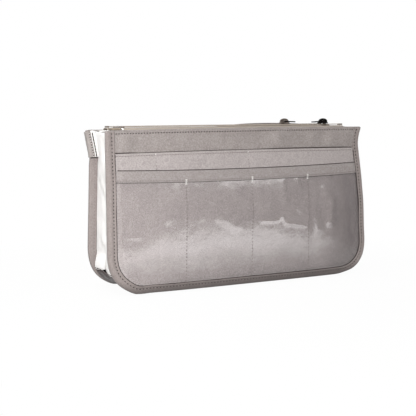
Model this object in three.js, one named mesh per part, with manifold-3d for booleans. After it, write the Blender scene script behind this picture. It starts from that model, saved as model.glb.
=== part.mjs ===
// Travel organizer bag. Two zipped pouches stand face to face, joined by white side walls and a
// bottom, with an open compartment between them and slip pockets on the front. Millimetres, +Z up.
// The origin is under the middle of the bag, X runs along its length and the front faces -Y.
// A depth is measured into the bag from the outer face of the nearest bound panel where it isn't
// bowed, and an inset is measured inwards from the panel's outer edge.

import * as THREE from 'three';
import { mergeVertices } from 'three/addons/utils/BufferGeometryUtils.js';
import Module from 'manifold-3d';

// Overall sizes
const bagLength = 290;
const bagHeight = 156;
const bagDepth = 60;
const cornerRadius = 39;

// The filled pouches bow outwards: fully up to bowHeight, and not at all from bowTop up
const frontBow = 4.5;
const rearBow = 2.5;
const bowHeight = 40;
const bowTop = 150;
const bowPower = 4;

// Clearance between neighbouring pieces
const gap = 0.3;

// Bound panels
const panelThickness = 1.4;
const liningThickness = 0.6;
const bindingThickness = 0.7;
const bindingWidth = 8;

// Side walls, bottom and dividers
const wallThickness = 0.7;
const flangeThickness = 0.6;
const wallDrop = 0.5;
const bottomSeamAngle = 29;
const dividerThickness = 1;

// Pockets on the panels
const slipThickness = 0.6;
const slipDrop = 21.5;
const filmThickness = 0.4;
const filmDrop = 38.5;
const filmBulge = 5.6;
const filmTuckHeight = 30;
const filmRowSpread = 1.4;
const filmSeams = [-64, 9, 78];
const bandThickness = 0.6;
const bandWidth = 11.5;
const rearSlipDrop = 34;

// Zips
const zipDepth = 10;
const zipEndMargin = 18;
const tapeThickness = 0.6;
const tapeRise = 2.6;
const tapeSlant = 1.8;
const tapeHidden = 8;
const slotWidth = 1;
const coilWidth = 1.8;
const coilHeight = 1.6;
const coilBevel = 0.4;
const stopLength = 3;
const stopWidth = 5.2;
const endTabLength = 10.3;
const endTabWidth = 14;
const endTabHeight = 3.3;

// Sliders and pulls
const sliderLength = 11.6;
const sliderWidth = 8;
const plateTail = 5.8;
const plateCorner = 1.5;
const plateShoulder = 0.6;
const plateThickness = 1.1;
const postLength = 4;
const postThickness = 0.4;
const bailLength = 10.4;
const bailWidth = 1.6;
const bailBar = 1.5;
const bailLeg = 1.2;
const bailArch = 1.6;
const axisOverPlate = 1.2;
const pullLength = 13;
const pullWidth = 5;
const pullThickness = 1.2;
const pullHoleStart = 0.6;
const pullHoleEnd = 5.7;
const pullHoleWidth = 2.6;
const pullTilt = 3;
const frontSliderFromEnd = 41.5;
const rearSliderFromEnd = 65;

// Folded tabs over the rear binding
const tabHeight = 30;
const tabThickness = 0.8;
const tabRise = 0.8;
const tabLean = 5;
const tabCurve = 1.3;

// Fineness of curves
const arcSteps = 8;
const uprightSteps = 6;
const bottomSteps = 14;
const panelColumns = 16;
const columnsPerPocket = 8;
const filmRows = 12;
const tabRows = 4;

// Depths of the layers, from the outer face of the binding inwards
const panelDepth = bindingThickness + gap;
const liningDepth = panelDepth + panelThickness + gap;
const flangeDepth = liningDepth + liningThickness + gap;
const bindingBackDepth = flangeDepth + flangeThickness + gap;
const bindingDepth = bindingBackDepth + bindingThickness;
const slipDepth = panelDepth - gap - slipThickness;
const bandBackDepth = slipDepth - gap - bandThickness;
const filmDepth = bandBackDepth - gap - filmThickness;
const bandDepth = filmDepth - gap - bandThickness;
const tapeDepth = liningDepth + liningThickness + gap;
const dividerDepth = 2 * zipDepth - tapeDepth + gap;

// Insets of the pieces that follow the edge
const edgeInset = bindingThickness + gap;
const seamInset = bindingWidth + gap;
const wallInset = seamInset + wallThickness;
const clearInset = wallInset + gap;

// Heights of the zip's layers
const tapeTop = bagHeight + tapeRise;
const coilBase = tapeTop + gap;
const coilTop = coilBase + coilHeight;
const topPlateBase = coilTop + gap;
const pullAxisHeight = topPlateBase + plateThickness + axisOverPlate;
const bottomPlateTop = tapeTop - tapeThickness - gap;
const tapeHalfLength = bagLength / 2 - zipEndMargin;
const coilHalfLength = tapeHalfLength - stopLength - 2 * gap;

// How far a panel bows outwards at a place: least near its sides and its top
function bowAt(bow, x, z) {
  const across = 1 - Math.abs(x / (bagLength / 2)) ** bowPower;
  const up = 1 - Math.max((z - bowHeight) / (bowTop - bowHeight), 0) ** bowPower;
  return bow * Math.max(across, 0) * Math.max(up, 0);
}

// The bag is centred on Y with all that stands proud of its two panels: the band of the clear
// pocket at the front, and the bow at the rear
const fullestPocket = (filmSeams[0] + filmSeams[1]) / 2;
const bandBow = bowAt(frontBow, fullestPocket, bagHeight - filmDrop - bandWidth);
const frontProud = filmBulge - bandDepth + bandBow;
const rearProud = rearBow;
const frontFace = frontProud - (frontProud + bagDepth + rearProud) / 2;
const halves = {
  front: { face: frontFace, inward: 1, bow: frontBow },
  rear: { face: frontFace + bagDepth, inward: -1, bow: rearBow },
};
const yAt = (half, depth) => half.face + half.inward * depth;
const bowedY = (half, x, z, depth) => yAt(half, depth - bowAt(half.bow, x, z));

const paint = (color, roughness, metalness = 0) => ({ color, roughness, metalness });
const finishes = {
  oxford: paint(0xa9a29f, 0.8),
  pocket: paint(0xb1aaa8, 0.8),
  binding: paint(0x9d9794, 0.75),
  lining: paint(0xd9d6d3, 0.8),
  nylon: paint(0xf1f0ee, 0.7),
  underside: paint(0x8a817e, 0.85),
  film: paint(0xc6c2c0, 0.15),
  tape: paint(0xb9ada2, 0.8),
  coil: paint(0xa3978d, 0.5),
  endTab: paint(0x968b7d, 0.8),
  metal: paint(0x2a2828, 0.35, 0.8),
};

const bag = new THREE.Group();

function addPiece(name, geometry, finish, parent = bag) {
  const piece = new THREE.Mesh(geometry, new THREE.MeshStandardMaterial(finish));
  piece.name = name;
  parent.add(piece);
  return piece;
}

// A closed body from vertices and triangles, turned so that its faces point out
function closedBody(vertices, triangles) {
  let volume = 0;
  const cross = new THREE.Vector3();
  for (const [a, b, c] of triangles) {
    volume += vertices[a].dot(cross.crossVectors(vertices[b], vertices[c]));
  }
  const geometry = new THREE.BufferGeometry();
  geometry.setAttribute('position', new THREE.Float32BufferAttribute(
    vertices.flatMap((v) => [v.x, v.y, v.z]), 3));
  geometry.setIndex(triangles.flatMap(([a, b, c]) => (volume > 0 ? [a, b, c] : [a, c, b])));
  geometry.computeVertexNormals();
  return geometry;
}

// A section carried through stations; place turns a station and a section point into a point in space
function sweep(section, stations, place) {
  const count = section.length;
  const vertices = stations.flatMap((station) => section.map((point) => place(station, point)));
  const triangles = [];
  for (let ring = 0; ring + 1 < stations.length; ring += 1) {
    for (let i = 0; i < count; i += 1) {
      const a = ring * count + i;
      const b = ring * count + ((i + 1) % count);
      triangles.push([a, b, b + count], [a, b + count, a + count]);
    }
  }
  const contour = section.map(([u, v]) => new THREE.Vector2(u, v));
  const turn = Math.sign(THREE.ShapeUtils.area(contour));
  const last = (stations.length - 1) * count;
  for (const [a, b, c] of THREE.ShapeUtils.triangulateShape(contour, [])) {
    const sameTurn = Math.sign(THREE.ShapeUtils.area([contour[a], contour[b], contour[c]])) === turn;
    const [m, n] = sameTurn ? [b, c] : [c, b];
    triangles.push([a, n, m], [a + last, m + last, n + last]);
  }
  return closedBody(vertices, triangles);
}

// A section of depths and heights carried straight along X
function alongLength(half, section, xs) {
  return sweep(section, xs, (x, [depth, z]) => new THREE.Vector3(x, yAt(half, depth), z));
}

// Heights of the points on an upright edge, from above the bottom corner to its top
function uprightHeights(top) {
  const heights = [];
  for (let i = 1; i <= uprightSteps; i += 1) {
    const z = THREE.MathUtils.lerp(cornerRadius, bowTop, i / uprightSteps);
    if (z < top - gap) heights.push(z);
  }
  return [...heights, top];
}

// Stations round the bound edge: 180 degrees is the left side, 270 the bottom and 360 the right side
function edgeStations(from, to, top) {
  const arcCentreX = bagLength / 2 - cornerRadius;
  const stations = [];
  const addArc = (centreX, start, end) => {
    const steps = Math.max(1, Math.round((arcSteps * (end - start)) / 90));
    for (let i = 0; i <= steps; i += 1) {
      const angle = THREE.MathUtils.degToRad(start + ((end - start) * i) / steps);
      stations.push({
        x: centreX + cornerRadius * Math.cos(angle),
        z: cornerRadius + cornerRadius * Math.sin(angle),
        outX: Math.cos(angle),
        outZ: Math.sin(angle),
      });
    }
  };
  const upright = (outX) => uprightHeights(top).map((z) => ({
    x: (outX * bagLength) / 2, z, outX, outZ: 0,
  }));
  if (from < 270) addArc(-arcCentreX, from, Math.min(to, 270));
  for (let i = 1; from < 270 && to > 270 && i < bottomSteps; i += 1) {
    const x = THREE.MathUtils.lerp(-arcCentreX, arcCentreX, i / bottomSteps);
    stations.push({ x, z: 0, outX: 0, outZ: -1 });
  }
  if (to > 270) addArc(arcCentreX, Math.max(from, 270), to);
  if (from === 180) stations.unshift(...upright(-1).reverse());
  if (to === 360) stations.push(...upright(1));
  return stations;
}

// A section of insets and depths carried round the bound edge
function roundEdge(section, stations, yOf) {
  return sweep(section, stations, (s, [inset, depth]) => {
    const x = s.x - s.outX * inset;
    const z = s.z - s.outZ * inset;
    return new THREE.Vector3(x, yOf(x, z, depth), z);
  });
}

// A flat panel with square top corners and round bottom corners
function flatPanel(half, inset, top, depth, thickness) {
  const side = bagLength / 2 - inset;
  const arcX = bagLength / 2 - cornerRadius;
  const radius = cornerRadius - inset;
  const outline = new THREE.Shape();
  outline.moveTo(-side, top);
  outline.lineTo(-side, cornerRadius);
  outline.absarc(-arcX, cornerRadius, radius, Math.PI, 1.5 * Math.PI, false);
  outline.lineTo(arcX, inset);
  outline.absarc(arcX, cornerRadius, radius, 1.5 * Math.PI, 2 * Math.PI, false);
  outline.lineTo(side, top);
  const geometry = new THREE.ExtrudeGeometry(outline, {
    depth: thickness, bevelEnabled: false, curveSegments: arcSteps,
  });
  geometry.rotateX(Math.PI / 2);
  geometry.translate(0, Math.max(yAt(half, depth), yAt(half, depth + thickness)), 0);
  return geometry;
}

// A block between two corners given as X, depth and height
function block(half, [x0, x1], [d0, d1], [z0, z1]) {
  const geometry = new THREE.BoxGeometry(x1 - x0, d1 - d0, z1 - z0);
  geometry.translate((x0 + x1) / 2, yAt(half, (d0 + d1) / 2), (z0 + z1) / 2);
  return geometry;
}

// Half the length of a sheet at height z, where its edge keeps the given inset
function halfLengthAt(z, inset) {
  if (z >= cornerRadius) return bagLength / 2 - inset;
  const radius = cornerRadius - inset;
  const drop = cornerRadius - z;
  return bagLength / 2 - cornerRadius + Math.sqrt(Math.max(radius * radius - drop * drop, 0));
}

// A closed sheet between two depths, bowed with its half of the bag; reliefAt lifts it further
function bowedSheet(half, heights, xsAt, depths, reliefAt = () => 0) {
  const rows = heights.length;
  const columns = xsAt(heights[0]).length;
  const vertices = depths.flatMap((depth) => heights.flatMap((z) => xsAt(z).map((x, column) => (
    new THREE.Vector3(x, bowedY(half, x, z, depth - reliefAt(z, column)), z)))));
  const back = rows * columns;
  const triangles = [];
  const addQuad = (a, b, c, d) => triangles.push([a, b, c], [a, c, d]);
  for (let r = 0; r + 1 < rows; r += 1) {
    for (let c = 0; c + 1 < columns; c += 1) {
      const a = r * columns + c;
      addQuad(a, a + 1, a + columns + 1, a + columns);
      addQuad(back + a, back + a + columns, back + a + columns + 1, back + a + 1);
    }
    const left = r * columns;
    const right = left + columns - 1;
    addQuad(left, left + columns, back + left + columns, back + left);
    addQuad(right, back + right, back + right + columns, right + columns);
  }
  for (let c = 0; c + 1 < columns; c += 1) {
    const upper = (rows - 1) * columns + c;
    addQuad(c, back + c, back + c + 1, c + 1);
    addQuad(upper, upper + 1, back + upper + 1, back + upper);
  }
  return closedBody(vertices, triangles);
}

// A bowed panel with square top corners and round bottom corners
function bowedPanel(half, inset, top, depth, thickness) {
  const heights = [];
  for (let i = 0; i <= arcSteps; i += 1) {
    const angle = (Math.PI / 2) * (i / arcSteps);
    heights.push(cornerRadius - (cornerRadius - inset) * Math.cos(angle));
  }
  const xsAt = (z) => Array.from({ length: panelColumns + 1 }, (_, i) => (
    halfLengthAt(z, inset) * ((2 * i) / panelColumns - 1)));
  return bowedSheet(half, [...heights, ...uprightHeights(top)], xsAt, [depth, depth + thickness]);
}

// X positions across the clear pocket at height z, the same number between each pair of seams
function filmColumnsAt(z) {
  const end = halfLengthAt(z, seamInset);
  const bounds = [-end, ...filmSeams, end];
  const columns = [-end];
  for (let i = 0; i + 1 < bounds.length; i += 1) {
    for (let step = 1; step <= columnsPerPocket; step += 1) {
      columns.push(THREE.MathUtils.lerp(bounds[i], bounds[i + 1], step / columnsPerPocket));
    }
  }
  return columns;
}

// How far the clear pocket stands forward, as a share of its bulge: none at the seams
function pocketArch(column) {
  return Math.sin((Math.PI * (column % columnsPerPocket)) / columnsPerPocket);
}

// The clear film: it arches between its seams and lies flat where it is tucked in at the bottom
function clearFilm(half) {
  const top = bagHeight - filmDrop - bandThickness - gap;
  const heights = Array.from({ length: filmRows + 1 }, (_, row) => (
    THREE.MathUtils.lerp(seamInset, top, (row / filmRows) ** filmRowSpread)));
  const reliefAt = (z, column) => {
    const tuck = THREE.MathUtils.smoothstep(z, seamInset, seamInset + filmTuckHeight);
    return filmBulge * tuck * pocketArch(column);
  };
  return bowedSheet(half, heights, filmColumnsAt, [filmDepth, filmDepth + filmThickness], reliefAt);
}

// The strip folded over the clear pocket's top edge; it follows the pocket's arches
function filmBand(half) {
  const top = bagHeight - filmDrop;
  const low = top - bandWidth;
  const back = bandBackDepth;
  const section = [
    [bandDepth, low], [bandDepth, top], [back + bandThickness, top], [back + bandThickness, low],
    [back, low], [back, top - bandThickness],
    [bandDepth + bandThickness, top - bandThickness], [bandDepth + bandThickness, low],
  ];
  const stations = filmColumnsAt(low).map((x, column) => [x, filmBulge * pocketArch(column)]);
  return sweep(section, stations, ([x, relief], [depth, z]) => (
    new THREE.Vector3(x, bowedY(half, x, z, depth - relief), z)));
}

function addPanels(side) {
  const half = halves[side];
  const back = bindingBackDepth;
  const bindingSection = [
    [bindingWidth, 0], [0, 0], [0, bindingDepth], [bindingWidth, bindingDepth],
    [bindingWidth, back], [bindingThickness, back],
    [bindingThickness, bindingThickness], [bindingWidth, bindingThickness],
  ];
  const edge = edgeStations(180, 360, bagHeight);
  const yOf = (x, z, depth) => bowedY(half, x, z, depth);
  addPiece(`${side}_panel`, bowedPanel(half, edgeInset, bagHeight, panelDepth, panelThickness),
    finishes.oxford);
  addPiece(`${side}_lining`, bowedPanel(half, edgeInset, bagHeight, liningDepth, liningThickness),
    finishes.lining);
  addPiece(`${side}_binding`, roundEdge(bindingSection, edge, yOf), finishes.binding);
  addPiece(`${side}_divider`,
    flatPanel(half, clearInset, bagHeight, dividerDepth, dividerThickness), finishes.nylon);
}

function addPockets() {
  const { front, rear } = halves;
  addPiece('front_slip_pocket',
    bowedPanel(front, seamInset, bagHeight - slipDrop, slipDepth, slipThickness), finishes.pocket);
  addPiece('clear_pocket_film', clearFilm(front), finishes.film);
  addPiece('clear_pocket_band', filmBand(front), finishes.pocket);
  addPiece('rear_slip_pocket',
    bowedPanel(rear, seamInset, bagHeight - rearSlipDrop, slipDepth, slipThickness),
    finishes.pocket);
}

// Side walls and bottom: one channel, whose flanges are caught in both bindings
function addWalls() {
  const near = flangeDepth;
  const far = bagDepth - flangeDepth;
  const section = [
    [edgeInset, near], [wallInset, near], [wallInset, far], [edgeInset, far],
    [edgeInset, far - flangeThickness], [seamInset, far - flangeThickness],
    [seamInset, near + flangeThickness], [edgeInset, near + flangeThickness],
  ];
  const top = bagHeight - wallDrop;
  const seamGap = THREE.MathUtils.radToDeg(gap / (cornerRadius - wallInset));
  const left = 180 + bottomSeamAngle;
  const right = 360 - bottomSeamAngle;
  const yOf = (x, z, depth) => (depth < bagDepth / 2
    ? bowedY(halves.front, x, z, depth)
    : bowedY(halves.rear, x, z, bagDepth - depth));
  const channel = (from, to) => roundEdge(section, edgeStations(from, to, top), yOf);
  addPiece('side_wall_left', channel(180, left), finishes.nylon);
  addPiece('bottom_panel', channel(left + seamGap, right - seamGap), finishes.underside);
  addPiece('side_wall_right', channel(right, 360), finishes.nylon);
}

// Turns a depth measured from the panel into the same place across the zip's middle line
const acrossZip = (section) => section.map(([depth, z]) => [2 * zipDepth - depth, z]);

function addZipTapes(side) {
  const half = halves[side];
  const inner = tapeDepth + tapeThickness;
  const edge = zipDepth - slotWidth / 2;
  const bend = tapeThickness * Math.tan(Math.PI / 8);
  const tapeSection = [
    [tapeDepth, bagHeight - tapeHidden], [tapeDepth, tapeTop - tapeSlant],
    [tapeDepth + tapeSlant, tapeTop], [edge, tapeTop], [edge, tapeTop - tapeThickness],
    [tapeDepth + tapeSlant + bend, tapeTop - tapeThickness],
    [inner, tapeTop - tapeSlant - bend], [inner, bagHeight - tapeHidden],
  ];
  const coilSection = [
    [edge - coilWidth, coilBase], [edge - coilWidth, coilTop - coilBevel],
    [edge - coilWidth + coilBevel, coilTop], [edge, coilTop], [edge, coilBase],
  ];
  const tapeEnds = [-tapeHalfLength, tapeHalfLength];
  const coilEnds = [-coilHalfLength, coilHalfLength];
  addPiece(`${side}_zip_tape_outer`, alongLength(half, tapeSection, tapeEnds), finishes.tape);
  addPiece(`${side}_zip_tape_inner`, alongLength(half, acrossZip(tapeSection), tapeEnds),
    finishes.tape);
  addPiece(`${side}_zip_coil_outer`, alongLength(half, coilSection, coilEnds), finishes.coil);
  addPiece(`${side}_zip_coil_inner`, alongLength(half, acrossZip(coilSection), coilEnds),
    finishes.coil);
}

// Stops at both ends of the coil, and a folded tab that covers one end of the zip
function addZipEnds(side, tabEnd) {
  const half = halves[side];
  const stopDepths = [zipDepth - stopWidth / 2, zipDepth + stopWidth / 2];
  const start = coilHalfLength + gap;
  const stopX = [start, start + stopLength];
  addPiece(`${side}_zip_stop_right`, block(half, stopX, stopDepths, [coilBase, coilTop]),
    finishes.metal);
  addPiece(`${side}_zip_stop_left`,
    block(half, [-stopX[1], -stopX[0]], stopDepths, [coilBase, coilTop]), finishes.metal);
  const tabX = [tapeHalfLength + gap, tapeHalfLength + gap + endTabLength];
  const tabSpan = tabEnd > 0 ? tabX : [-tabX[1], -tabX[0]];
  const tabDepths = [zipDepth - endTabWidth / 2, zipDepth + endTabWidth / 2];
  const tabBase = bagHeight + gap;
  addPiece(`${side}_zip_end_tab`,
    block(half, tabSpan, tabDepths, [tabBase, tabBase + endTabHeight]), finishes.endTab);
}

// Joining and cutting of solids
const wasm = await Module();
wasm.setup();

function toSolid(geometry) {
  const bare = geometry.clone();
  bare.deleteAttribute('normal');
  bare.deleteAttribute('uv');
  const merged = mergeVertices(bare, 1e-4);
  return new wasm.Manifold(new wasm.Mesh({
    numProp: 3,
    vertProperties: new Float32Array(merged.attributes.position.array),
    triVerts: new Uint32Array(merged.index.array),
  }));
}

function toGeometry(solid) {
  const mesh = solid.getMesh();
  const geometry = new THREE.BufferGeometry();
  geometry.setAttribute('position', new THREE.Float32BufferAttribute(mesh.vertProperties, 3));
  geometry.setIndex(Array.from(mesh.triVerts));
  geometry.computeVertexNormals();
  return geometry;
}

// A slider plate: wide and round where the zip enters it, narrower at its other end
function sliderPlate(base) {
  const front = sliderLength / 2;
  const wide = sliderWidth / 2;
  const narrow = plateTail / 2;
  const outline = new THREE.Shape();
  outline.moveTo(-front, -narrow + plateCorner);
  outline.quadraticCurveTo(-front, -narrow, -front + plateCorner, -narrow);
  outline.lineTo(plateShoulder, -wide);
  outline.quadraticCurveTo(front, -wide, front, 0);
  outline.quadraticCurveTo(front, wide, plateShoulder, wide);
  outline.lineTo(-front + plateCorner, narrow);
  outline.quadraticCurveTo(-front, narrow, -front, narrow - plateCorner);
  const geometry = new THREE.ExtrudeGeometry(outline, {
    depth: plateThickness, bevelEnabled: false, curveSegments: 6,
  });
  geometry.translate(0, 0, base);
  return geometry;
}

// The bail: an arch over the top plate, which the pull hangs on
function sliderBail(base) {
  const outer = bailLength / 2;
  const inner = outer - bailBar;
  const root = -plateThickness / 2;
  const arch = new THREE.Shape();
  arch.moveTo(-outer, root);
  arch.lineTo(-outer, bailLeg);
  arch.absellipse(0, bailLeg, outer, bailArch + bailBar, Math.PI, 0, true);
  arch.lineTo(outer, root);
  arch.lineTo(inner, root);
  arch.lineTo(inner, bailLeg);
  arch.absellipse(0, bailLeg, inner, bailArch, 0, Math.PI, false);
  arch.lineTo(-inner, root);
  const geometry = new THREE.ExtrudeGeometry(arch, {
    depth: bailWidth, bevelEnabled: false, curveSegments: 8,
  });
  geometry.rotateX(Math.PI / 2);
  geometry.translate(0, bailWidth / 2, base);
  return geometry;
}

// The slider, built about the axis that its pull turns on
function sliderGeometry() {
  const topBase = topPlateBase - pullAxisHeight;
  const bottomBase = bottomPlateTop - plateThickness - pullAxisHeight;
  const postHeight = topBase - bottomBase;
  const post = new THREE.BoxGeometry(postLength, postThickness, postHeight);
  post.translate(sliderLength / 2 - postLength, 0, bottomBase + plateThickness / 2 + postHeight / 2);
  return toGeometry(toSolid(sliderPlate(topBase))
    .add(toSolid(sliderPlate(bottomBase)))
    .add(toSolid(post))
    .add(toSolid(sliderBail(topBase + plateThickness))));
}

// The pull: a flat bar with a round end on its axis and a hole for the bail, lying towards -X
function pullGeometry() {
  const round = pullThickness / 2;
  const side = new THREE.Shape();
  side.absarc(0, 0, round, -Math.PI / 2, Math.PI / 2, false);
  side.lineTo(-pullLength + round, round);
  side.absarc(-pullLength + round, 0, round, Math.PI / 2, 1.5 * Math.PI, false);
  side.lineTo(0, -round);
  const bar = new THREE.ExtrudeGeometry(side, {
    depth: pullWidth, bevelEnabled: false, curveSegments: 6,
  });
  bar.rotateX(Math.PI / 2);
  bar.translate(0, pullWidth / 2, 0);
  const hole = new THREE.BoxGeometry(pullHoleEnd - pullHoleStart, pullHoleWidth, 2 * pullThickness);
  hole.translate(-(pullHoleStart + pullHoleEnd) / 2, 0, 0);
  return toGeometry(toSolid(bar).subtract(toSolid(hole)));
}

// A slider with its pull, turned about the vertical so that the pull lies the other way
function addSlider(side, x, turn) {
  const carriage = new THREE.Group();
  carriage.position.set(x, yAt(halves[side], zipDepth), pullAxisHeight);
  carriage.rotation.z = turn;
  bag.add(carriage);
  addPiece(`${side}_zip_slider`, sliderGeometry(), finishes.metal, carriage);
  const pull = addPiece(`${side}_zip_pull`, pullGeometry(), finishes.metal, carriage);
  pull.rotation.y = -THREE.MathUtils.degToRad(pullTilt);
}

// A tab folded round the top of the rear binding; it leans outwards towards its top
function addEdgeTab(name, outward) {
  const out = gap + tabThickness;
  const reach = bindingWidth;
  const near = -gap;
  const far = bindingDepth + gap;
  const section = [
    [reach, -out], [-out, -out], [-out, far + tabThickness], [reach, far + tabThickness],
    [reach, far], [-gap, far], [-gap, near], [reach, near],
  ];
  const shares = Array.from({ length: tabRows + 1 }, (_, row) => row / tabRows);
  const place = (share, [inset, depth]) => {
    const x = outward * (bagLength / 2 - inset);
    const z = bagHeight + tabRise - tabHeight * (1 - share);
    return new THREE.Vector3(
      x + outward * tabLean * share ** tabCurve, bowedY(halves.rear, x, z, depth), z);
  };
  addPiece(name, sweep(section, shares, place), finishes.binding);
}

addPanels('front');
addPanels('rear');
addPockets();
addWalls();
for (const side of ['front', 'rear']) addZipTapes(side);
addZipEnds('front', -1);
addZipEnds('rear', 1);
addSlider('front', bagLength / 2 - frontSliderFromEnd, 0);
addSlider('rear', bagLength / 2 - rearSliderFromEnd, Math.PI);
addEdgeTab('edge_tab_left', -1);
addEdgeTab('edge_tab_right', 1);

export default bag;
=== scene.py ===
"""Looks of the travel organizer bag: sewn cloth, clear film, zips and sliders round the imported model.
Lengths in this file are millimetres until a mesh is made. A depth is measured into the bag from the
flat face of its front or rear, before that face bows out, and an inset inwards from the sewn edge."""
import math
from functools import partial

import bmesh
import bpy
import numpy as np
from mathutils import Matrix, Vector


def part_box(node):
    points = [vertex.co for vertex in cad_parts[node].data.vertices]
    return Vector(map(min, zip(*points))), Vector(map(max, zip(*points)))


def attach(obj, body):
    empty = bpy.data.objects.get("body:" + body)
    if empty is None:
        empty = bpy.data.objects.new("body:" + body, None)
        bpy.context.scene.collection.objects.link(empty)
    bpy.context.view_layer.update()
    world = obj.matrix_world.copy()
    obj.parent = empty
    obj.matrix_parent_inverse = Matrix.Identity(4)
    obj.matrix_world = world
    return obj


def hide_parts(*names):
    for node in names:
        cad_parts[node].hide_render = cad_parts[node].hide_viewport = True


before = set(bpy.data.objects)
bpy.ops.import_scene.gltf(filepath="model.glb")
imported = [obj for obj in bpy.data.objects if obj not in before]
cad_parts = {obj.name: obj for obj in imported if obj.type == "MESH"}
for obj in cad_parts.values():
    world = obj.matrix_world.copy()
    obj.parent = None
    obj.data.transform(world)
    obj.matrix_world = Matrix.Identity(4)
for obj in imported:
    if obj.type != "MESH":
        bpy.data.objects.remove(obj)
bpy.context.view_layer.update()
MM = 0.001


def node_box(name):
    return [np.array(corner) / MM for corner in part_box(name)]


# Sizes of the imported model
EDGE_LOW, EDGE_HIGH = node_box("front_binding")
LENGTH = EDGE_HIGH[0] - EDGE_LOW[0]
HALF_LENGTH = LENGTH / 2
HEIGHT = EDGE_HIGH[2]
DIVIDER = (17.2, 1.0)
DIVIDER_NEAR = DIVIDER[0] - DIVIDER[1] / 2
FRONT_FACE = node_box("front_divider")[0][1] - DIVIDER_NEAR
REAR_FACE = node_box("rear_divider")[1][1] + DIVIDER_NEAR
DEPTH = REAR_FACE - FRONT_FACE
MIDDLE = (FRONT_FACE + REAR_FACE) / 2
# Radius of the sewn edge at its bottom corners, and X where they begin
CORNER = 39
ARC_X = HALF_LENGTH - CORNER
HALVES = ("front", "rear")
OUT = {"front": (0, -1, 0), "rear": (0, 1, 0)}
SLIP_TOP = {half: node_box(f"{half}_slip_pocket")[1][2] for half in HALVES}
BAND_TOP = node_box("clear_pocket_band")[1][2]
TAPE_HALF = node_box("front_zip_tape_outer")[1][0]
COIL_HALF = node_box("front_zip_coil_outer")[1][0]

# Middle depth and thickness of each layer of cloth
PANEL = (1.7, 1.4)
LINING = (3.0, 0.6)
SLIP = (0.4, 0.6)
FILM = (-1.3, 0.3)
BAND_THICK = 0.6
BINDING_BACK, BINDING_THICK = 4.85, 0.7
WALL_FLANGE, WALL_THICK = 3.9, 0.7
ZIP_DEPTH = 10

# How far inside the sewn edge each layer ends
PANEL_INSET = 1.0
POCKET_INSET = 6.3
SEAM_INSET = 8
DIVIDER_INSET = 9.3
POCKET_HALF = HALF_LENGTH - POCKET_INSET

# Places of the seams that divide the pockets, and how far the pockets stand open
FILM_SEAMS = (-67, 6, 71.4)
FILM_MARKS = (-POCKET_HALF, *FILM_SEAMS, POCKET_HALF)
SLIP_SEAMS = (-96, 5)
MOUTH = {"front": 1.8, "rear": 1.1}
FILM_ARCH = 0.5


# Shapes

def smooth(value, low, high):
    """0 below low, 1 above high, with an even turn between"""
    share = np.clip((value - low) / (high - low), 0, 1)
    return share * share * (3 - 2 * share)


def soft_noise(x, y, seed):
    """Smooth lattice noise from -1 to 1, with one cell to the unit"""
    table = np.random.default_rng(seed).uniform(-1, 1, (64, 64))
    x, y = np.broadcast_arrays(np.asarray(x, float) + 31.3, np.asarray(y, float) + 17.7)
    column, row = np.floor(x).astype(int), np.floor(y).astype(int)
    across, up = smooth(x - column, 0, 1), smooth(y - row, 0, 1)
    low = table[row % 64, column % 64] * (1 - across) + table[row % 64, (column + 1) % 64] * across
    above = (row + 1) % 64
    high = table[above, column % 64] * (1 - across) + table[above, (column + 1) % 64] * across
    return low * (1 - up) + high * up


def points_on(half, x, depth, z):
    """Points of the front or rear half; x, depth and z are single values, rows or grids"""
    y = FRONT_FACE + depth if half == "front" else REAR_FACE - depth
    return np.stack(np.broadcast_arrays(x, y, z), axis=-1)


def unit(vectors):
    return vectors / np.maximum(np.linalg.norm(vectors, axis=-1, keepdims=True), 1e-9)


def running_total(steps):
    return np.concatenate([[0], np.cumsum(steps)])


def travelled_along(path):
    """How far along a path each of its points is"""
    return running_total(np.linalg.norm(np.diff(path, axis=0), axis=1))


FLARE_HEIGHTS = (0, 11, 22, 47, 78, 108, 127, 139, 147, 156)
FLARE = (5, 7, 7, 5.4, 4.2, 1.4, -1.0, -2.5, -1.6, 1.2)
BOW = {"front": 7.5, "rear": 2.8}
BOW_HEIGHT = 40
BOW_TOP = 150
LEAN = 2
BELLY_HEIGHTS = (0, 2.5, 8, 13, 20)
BELLY = (0, 0.9, 3.6, 4.3, 4.4)
CHIN_AT, CHIN_WIDTH, CHIN = -118, 7, 1.9
CORNER_PUSH = 2.2
REAR_HEIGHTS = (0, 40, 87, 122, 131, 156)
REAR_LEFT_IN = (0, 0, 1.9, 3.2, 4.3, 0)
REAR_RIGHT_OUT = 3


def bow_at(half, x, z):
    """How far the front or rear face stands out: fully below BOW_HEIGHT, and nothing at the top"""
    across = np.clip(1 - np.abs(x / HALF_LENGTH) ** 3, 0, 1)
    rise = np.clip((z - BOW_HEIGHT) / (BOW_TOP - BOW_HEIGHT), 0, 1)
    return BOW[half] * across * (1 - rise ** 4)


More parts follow.
